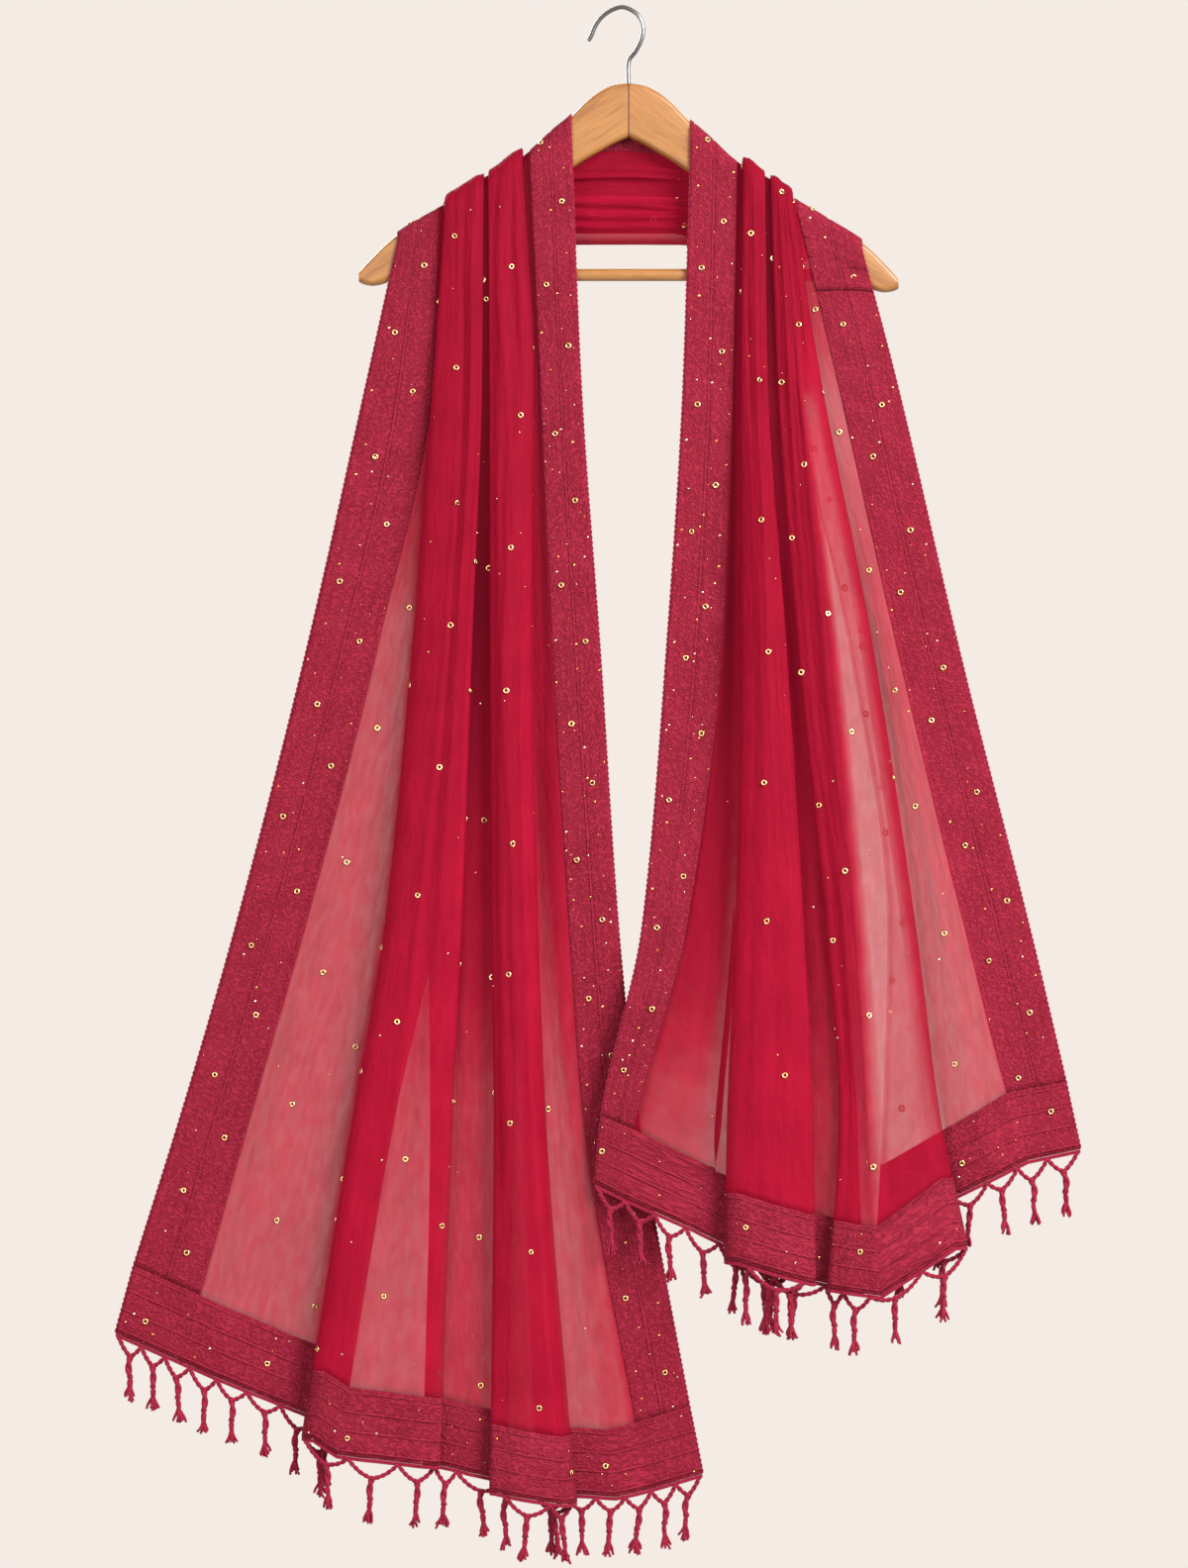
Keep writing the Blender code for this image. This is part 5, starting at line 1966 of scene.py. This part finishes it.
    def fleck_places(self, chance: random.Random) -> Iterable[tuple[float, float, float]]:
        """Across, along and lift of every fleck: sparse on the sheer, dense on the borders and bands."""
        cloth, pitch = self.cloth, self.border_fleck_pitch
        start, end, length = cloth.along[cloth.left_band], cloth.along[cloth.right_band], cloth.along[-1]
        seam, inner, width = cloth.across[STOPS.seam], cloth.across[STOPS.inner_seam], cloth.across[-1]
        on_sheer, on_border, on_band = self.fleck_lifts
        for field in (Field(seam, inner, start, end, self.fleck_pitch, on_sheer, 0.3),
                      Field(0.0, seam, start, end, pitch, on_border, 0.2),
                      Field(inner, width, start, end, pitch, on_border, 0.5),
                      Field(0.0, width, 0.0, start, pitch, on_band, 0.3),
                      Field(0.0, width, end, length, pitch, on_band, 0.3)):
            columns = int((field.high - field.low) / field.pitch)
            for row in range(int((field.last - field.first) / field.pitch)):
                for column in range(columns):
                    if chance.random() > field.share:
                        continue
                    u = field.low + (column + chance.uniform(0.1, 0.9)) * (field.high - field.low) / columns
                    v = field.first + (row + chance.uniform(0.1, 0.9)) * field.pitch
                    yield u, v, field.lift


@dataclass(frozen=True)
class Hanger:
    """The two wooden arms, the trouser bar and the steel hook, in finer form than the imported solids."""

    sizes: HangerSizes = HANGER
    slope: float = math.radians(33.0)
    # Sections of an arm, in mm from the middle: the first one, then from, to and how many.
    innermost: float = 0.05
    sections: tuple[tuple[float, float, int], ...] = ((3.0, 205.0, 60), (207.0, 221.0, 12))
    corner_steps: int = 7
    bar_corners: int = 32
    bar_bevel: float = 0.8 * MM
    bend_steps: int = 7
    tip_radii: tuple[float, float] = (0.9, 0.45)
    wire: MetalFinish = MetalFinish("bright_steel", (0.150, 0.152, 0.158), (0.115, 0.117, 0.122), 0.26, 0.30,
                                    Grain(60.0, 2.0))

    def build(self) -> None:
        """Makes and dresses the pieces."""
        for label, side in (("left", -1), ("right", 1)):
            finish_piece(object_from(f"arm_{label}", self.arm(side)),
                         WoodFinish(f"honey_wood_{label}", -side * self.slope).make(), Slot.WOOD,
                         [f"hanger_arm_{label}"])
        bar_wood = WoodFinish("honey_wood_bar", 0.0, False).make()
        finish_piece(object_from("bar", self.bar()), bar_wood, Slot.WOOD, ["trouser_bar"])
        finish_piece(self.hook(), self.wire.make(), Slot.STEEL, ["hook"])

    def arm(self, side: int) -> BMesh:
        """One arm, lofted through rounded sections from the middle outwards."""
        distances = [self.innermost]
        for row in self.sections:
            distances += np.linspace(*row).tolist()
        bm = loft([self.section(self.sizes.centre + side * distance * MM) for distance in distances])
        for edge in bm.edges:
            edge.smooth = all(len(face.verts) <= 4 for face in edge.link_faces)
        return bm

    def section(self, x: float) -> list[Vector]:
        """The ring of places round the arm's rounded rectangle at x."""
        sizes = self.sizes
        high, low, half = sizes.edge(x, 1), sizes.edge(x, 2), sizes.thickness / 2
        rounding = min(sizes.rounding, (high - low) * sizes.rounding_share)
        ring = []
        for corner_y, upper, start in ((1, True, 0), (-1, True, 90), (-1, False, 180), (1, False, 270)):
            centre_y = corner_y * (half - rounding)
            centre_z = high - rounding if upper else low + rounding
            for k in range(self.corner_steps + 1):
                angle = math.radians(start + 90.0 * k / self.corner_steps)
                ring.append(Vector((x, centre_y + rounding * math.cos(angle),
                                    centre_z + rounding * math.sin(angle))))
        return ring

    def bar(self) -> BMesh:
        """The round trouser bar."""
        sizes = self.sizes
        bm = bmesh.new()
        lying = Matrix.Rotation(math.pi / 2, 4, "Y")
        lying.translation = (sizes.centre, 0.0, sizes.bar_height)
        bmesh.ops.create_cone(bm, cap_ends=True, segments=self.bar_corners, radius1=sizes.bar_radius,
                              radius2=sizes.bar_radius, depth=2 * sizes.bar_reach, matrix=lying)
        rims = [edge for edge in bm.edges if any(len(face.verts) > 4 for face in edge.link_faces)]
        bmesh.ops.bevel(bm, geom=rims, offset=self.bar_bevel, segments=2, profile=0.5, affect="EDGES",
                        material=-1)
        return bm

    def hook(self) -> Object:
        """The steel wire, round-ended, from the wood to the tip of its open bend."""
        sizes = self.sizes
        shank = (sizes.shank_foot, (sizes.shank_foot + sizes.shank_top) / 2, sizes.shank_top)
        knots = [Vector((sizes.centre, 0.0, z)) for z in shank]
        knots += [Vector((x, 0.0, z)) * MM for x, z in sizes.bend]
        padded = [knots[0], *knots, knots[-1]]
        path = []
        for a, b, c, d in zip(padded, padded[1:], padded[2:], padded[3:]):
            for f in (k / self.bend_steps for k in range(self.bend_steps)):
                path.append(0.5 * (2 * b + (c - a) * f + (2 * a - 5 * b + 4 * c - d) * f * f
                                   + (3 * b - a - 3 * c + d) * f ** 3))
        path.append(knots[-1])
        radius = sizes.wire_radius / MM
        wire = Strands("hook_wire", 4)
        wire.add(path, [radius] * (len(path) - 2) + [radius * share for share in self.tip_radii])
        return wire.piece()


class Lamp(NamedTuple):
    """A square soft lamp: its name, where it stands, its side in metres and its power in watts."""

    name: str
    place: tuple[float, float, float]
    side: float
    power: float


@dataclass(frozen=True)
class Studio:
    """Pale floor, soft light and the camera."""

    distance: float = 3.037
    centre_x: float = -0.0227
    centre_z: float = -0.634
    lens: float = 85.0
    floor_z: float = -1.6
    floor_radius: float = 1.2
    floor_thickness: float = 0.02
    floor_grain: Grain = Grain(3.0, 2.0)
    floor_colours: tuple[Colour, Colour] = ((0.40, 0.385, 0.37), (0.43, 0.415, 0.40))
    surroundings: Colour = (0.905, 0.832, 0.778)
    lamps: tuple[Lamp, ...] = (Lamp("key", (2.3, -2.3, 1.1), 1.9, 370.0),
                               Lamp("fill", (-1.8, -2.8, -0.3), 1.8, 80.0),
                               Lamp("behind", (-1.2, 2.6, 0.8), 1.8, 90.0))

    def build(self) -> None:
        """Makes the floor, the lamps, the surroundings and the camera."""
        self.floor()
        for lamp in self.lamps:
            self.light(lamp)
        scene = bpy.context.scene
        scene.world = bpy.data.worlds.new("pale_room")
        scene.world.use_nodes = True
        shade = scene.world.node_tree.nodes["Background"]
        shade.inputs["Color"].default_value = (*self.surroundings, 1.0)
        shade.inputs["Strength"].default_value = 1.0
        scene.view_settings.view_transform = "Standard"
        scene.view_settings.look = "None"
        camera = placed("camera", bpy.data.cameras.new("camera"))
        camera.data.lens = self.lens
        camera.location = (self.centre_x, -self.distance, self.centre_z)
        camera.rotation_euler = (math.pi / 2, 0.0, 0.0)
        scene.camera = camera

    def floor(self) -> None:
        """A pale disc well under the part."""
        bm = bmesh.new()
        bmesh.ops.create_cone(bm, cap_ends=True, segments=96, radius1=self.floor_radius,
                              radius2=self.floor_radius, depth=self.floor_thickness,
                              matrix=Matrix.Translation((0.0, 0.0, self.floor_z)))
        floor = object_from("floor", bm)
        paint = Paint("pale_floor", {"Roughness": 0.8})
        tint = paint.noise(self.floor_grain, "Object")
        floor.data.materials.append(paint.finish(paint.ramp(tint, list(zip((0.3, 0.7), self.floor_colours)))))

    def light(self, lamp: Lamp) -> None:
        """Sets up a lamp that points at the part's middle."""
        item = placed(lamp.name, bpy.data.lights.new(lamp.name, "AREA"))
        item.data.size = lamp.side
        item.data.energy = lamp.power
        item.location = lamp.place
        facing = Vector((0.0, 0.0, self.centre_z)) - Vector(lamp.place)
        item.rotation_euler = facing.to_track_quat("-Z", "Y").to_euler()


def declare(cloth: Length, pieces: dict[str, Object]) -> None:
    """States the cut of the cloth.

    Args:
        cloth: its grid.
        pieces: the pieces of cloth by name.
    """
    ground = pieces.pop("sheer_length")
    width = cloth.across[STOPS.inner_seam] - cloth.across[STOPS.seam]
    length = cloth.along[cloth.right_band] - cloth.along[cloth.left_band]
    LOG.info("modelled cut %.3f x %.3f", width, length)


def main() -> None:
    """Builds every sub-assembly in order and reports it."""
    logging.basicConfig(level=logging.INFO, format="%(name)s: %(message)s")
    cloth = drape_cloth()
    pieces = ClothPieces(cloth).build()
    others = [Fringe(cloth, Side.LEFT, seed=11).build(), Fringe(cloth, Side.RIGHT, seed=23).build(),
              Edging(cloth, 0, "outer_edging").build(),
              Edging(cloth, STOPS.count - 1, "inner_edging").build(), *Spangles(cloth).build()]
    declare(cloth, pieces)
    Hanger().build()
    Studio().build()


if __name__ == "__main__":
    main()
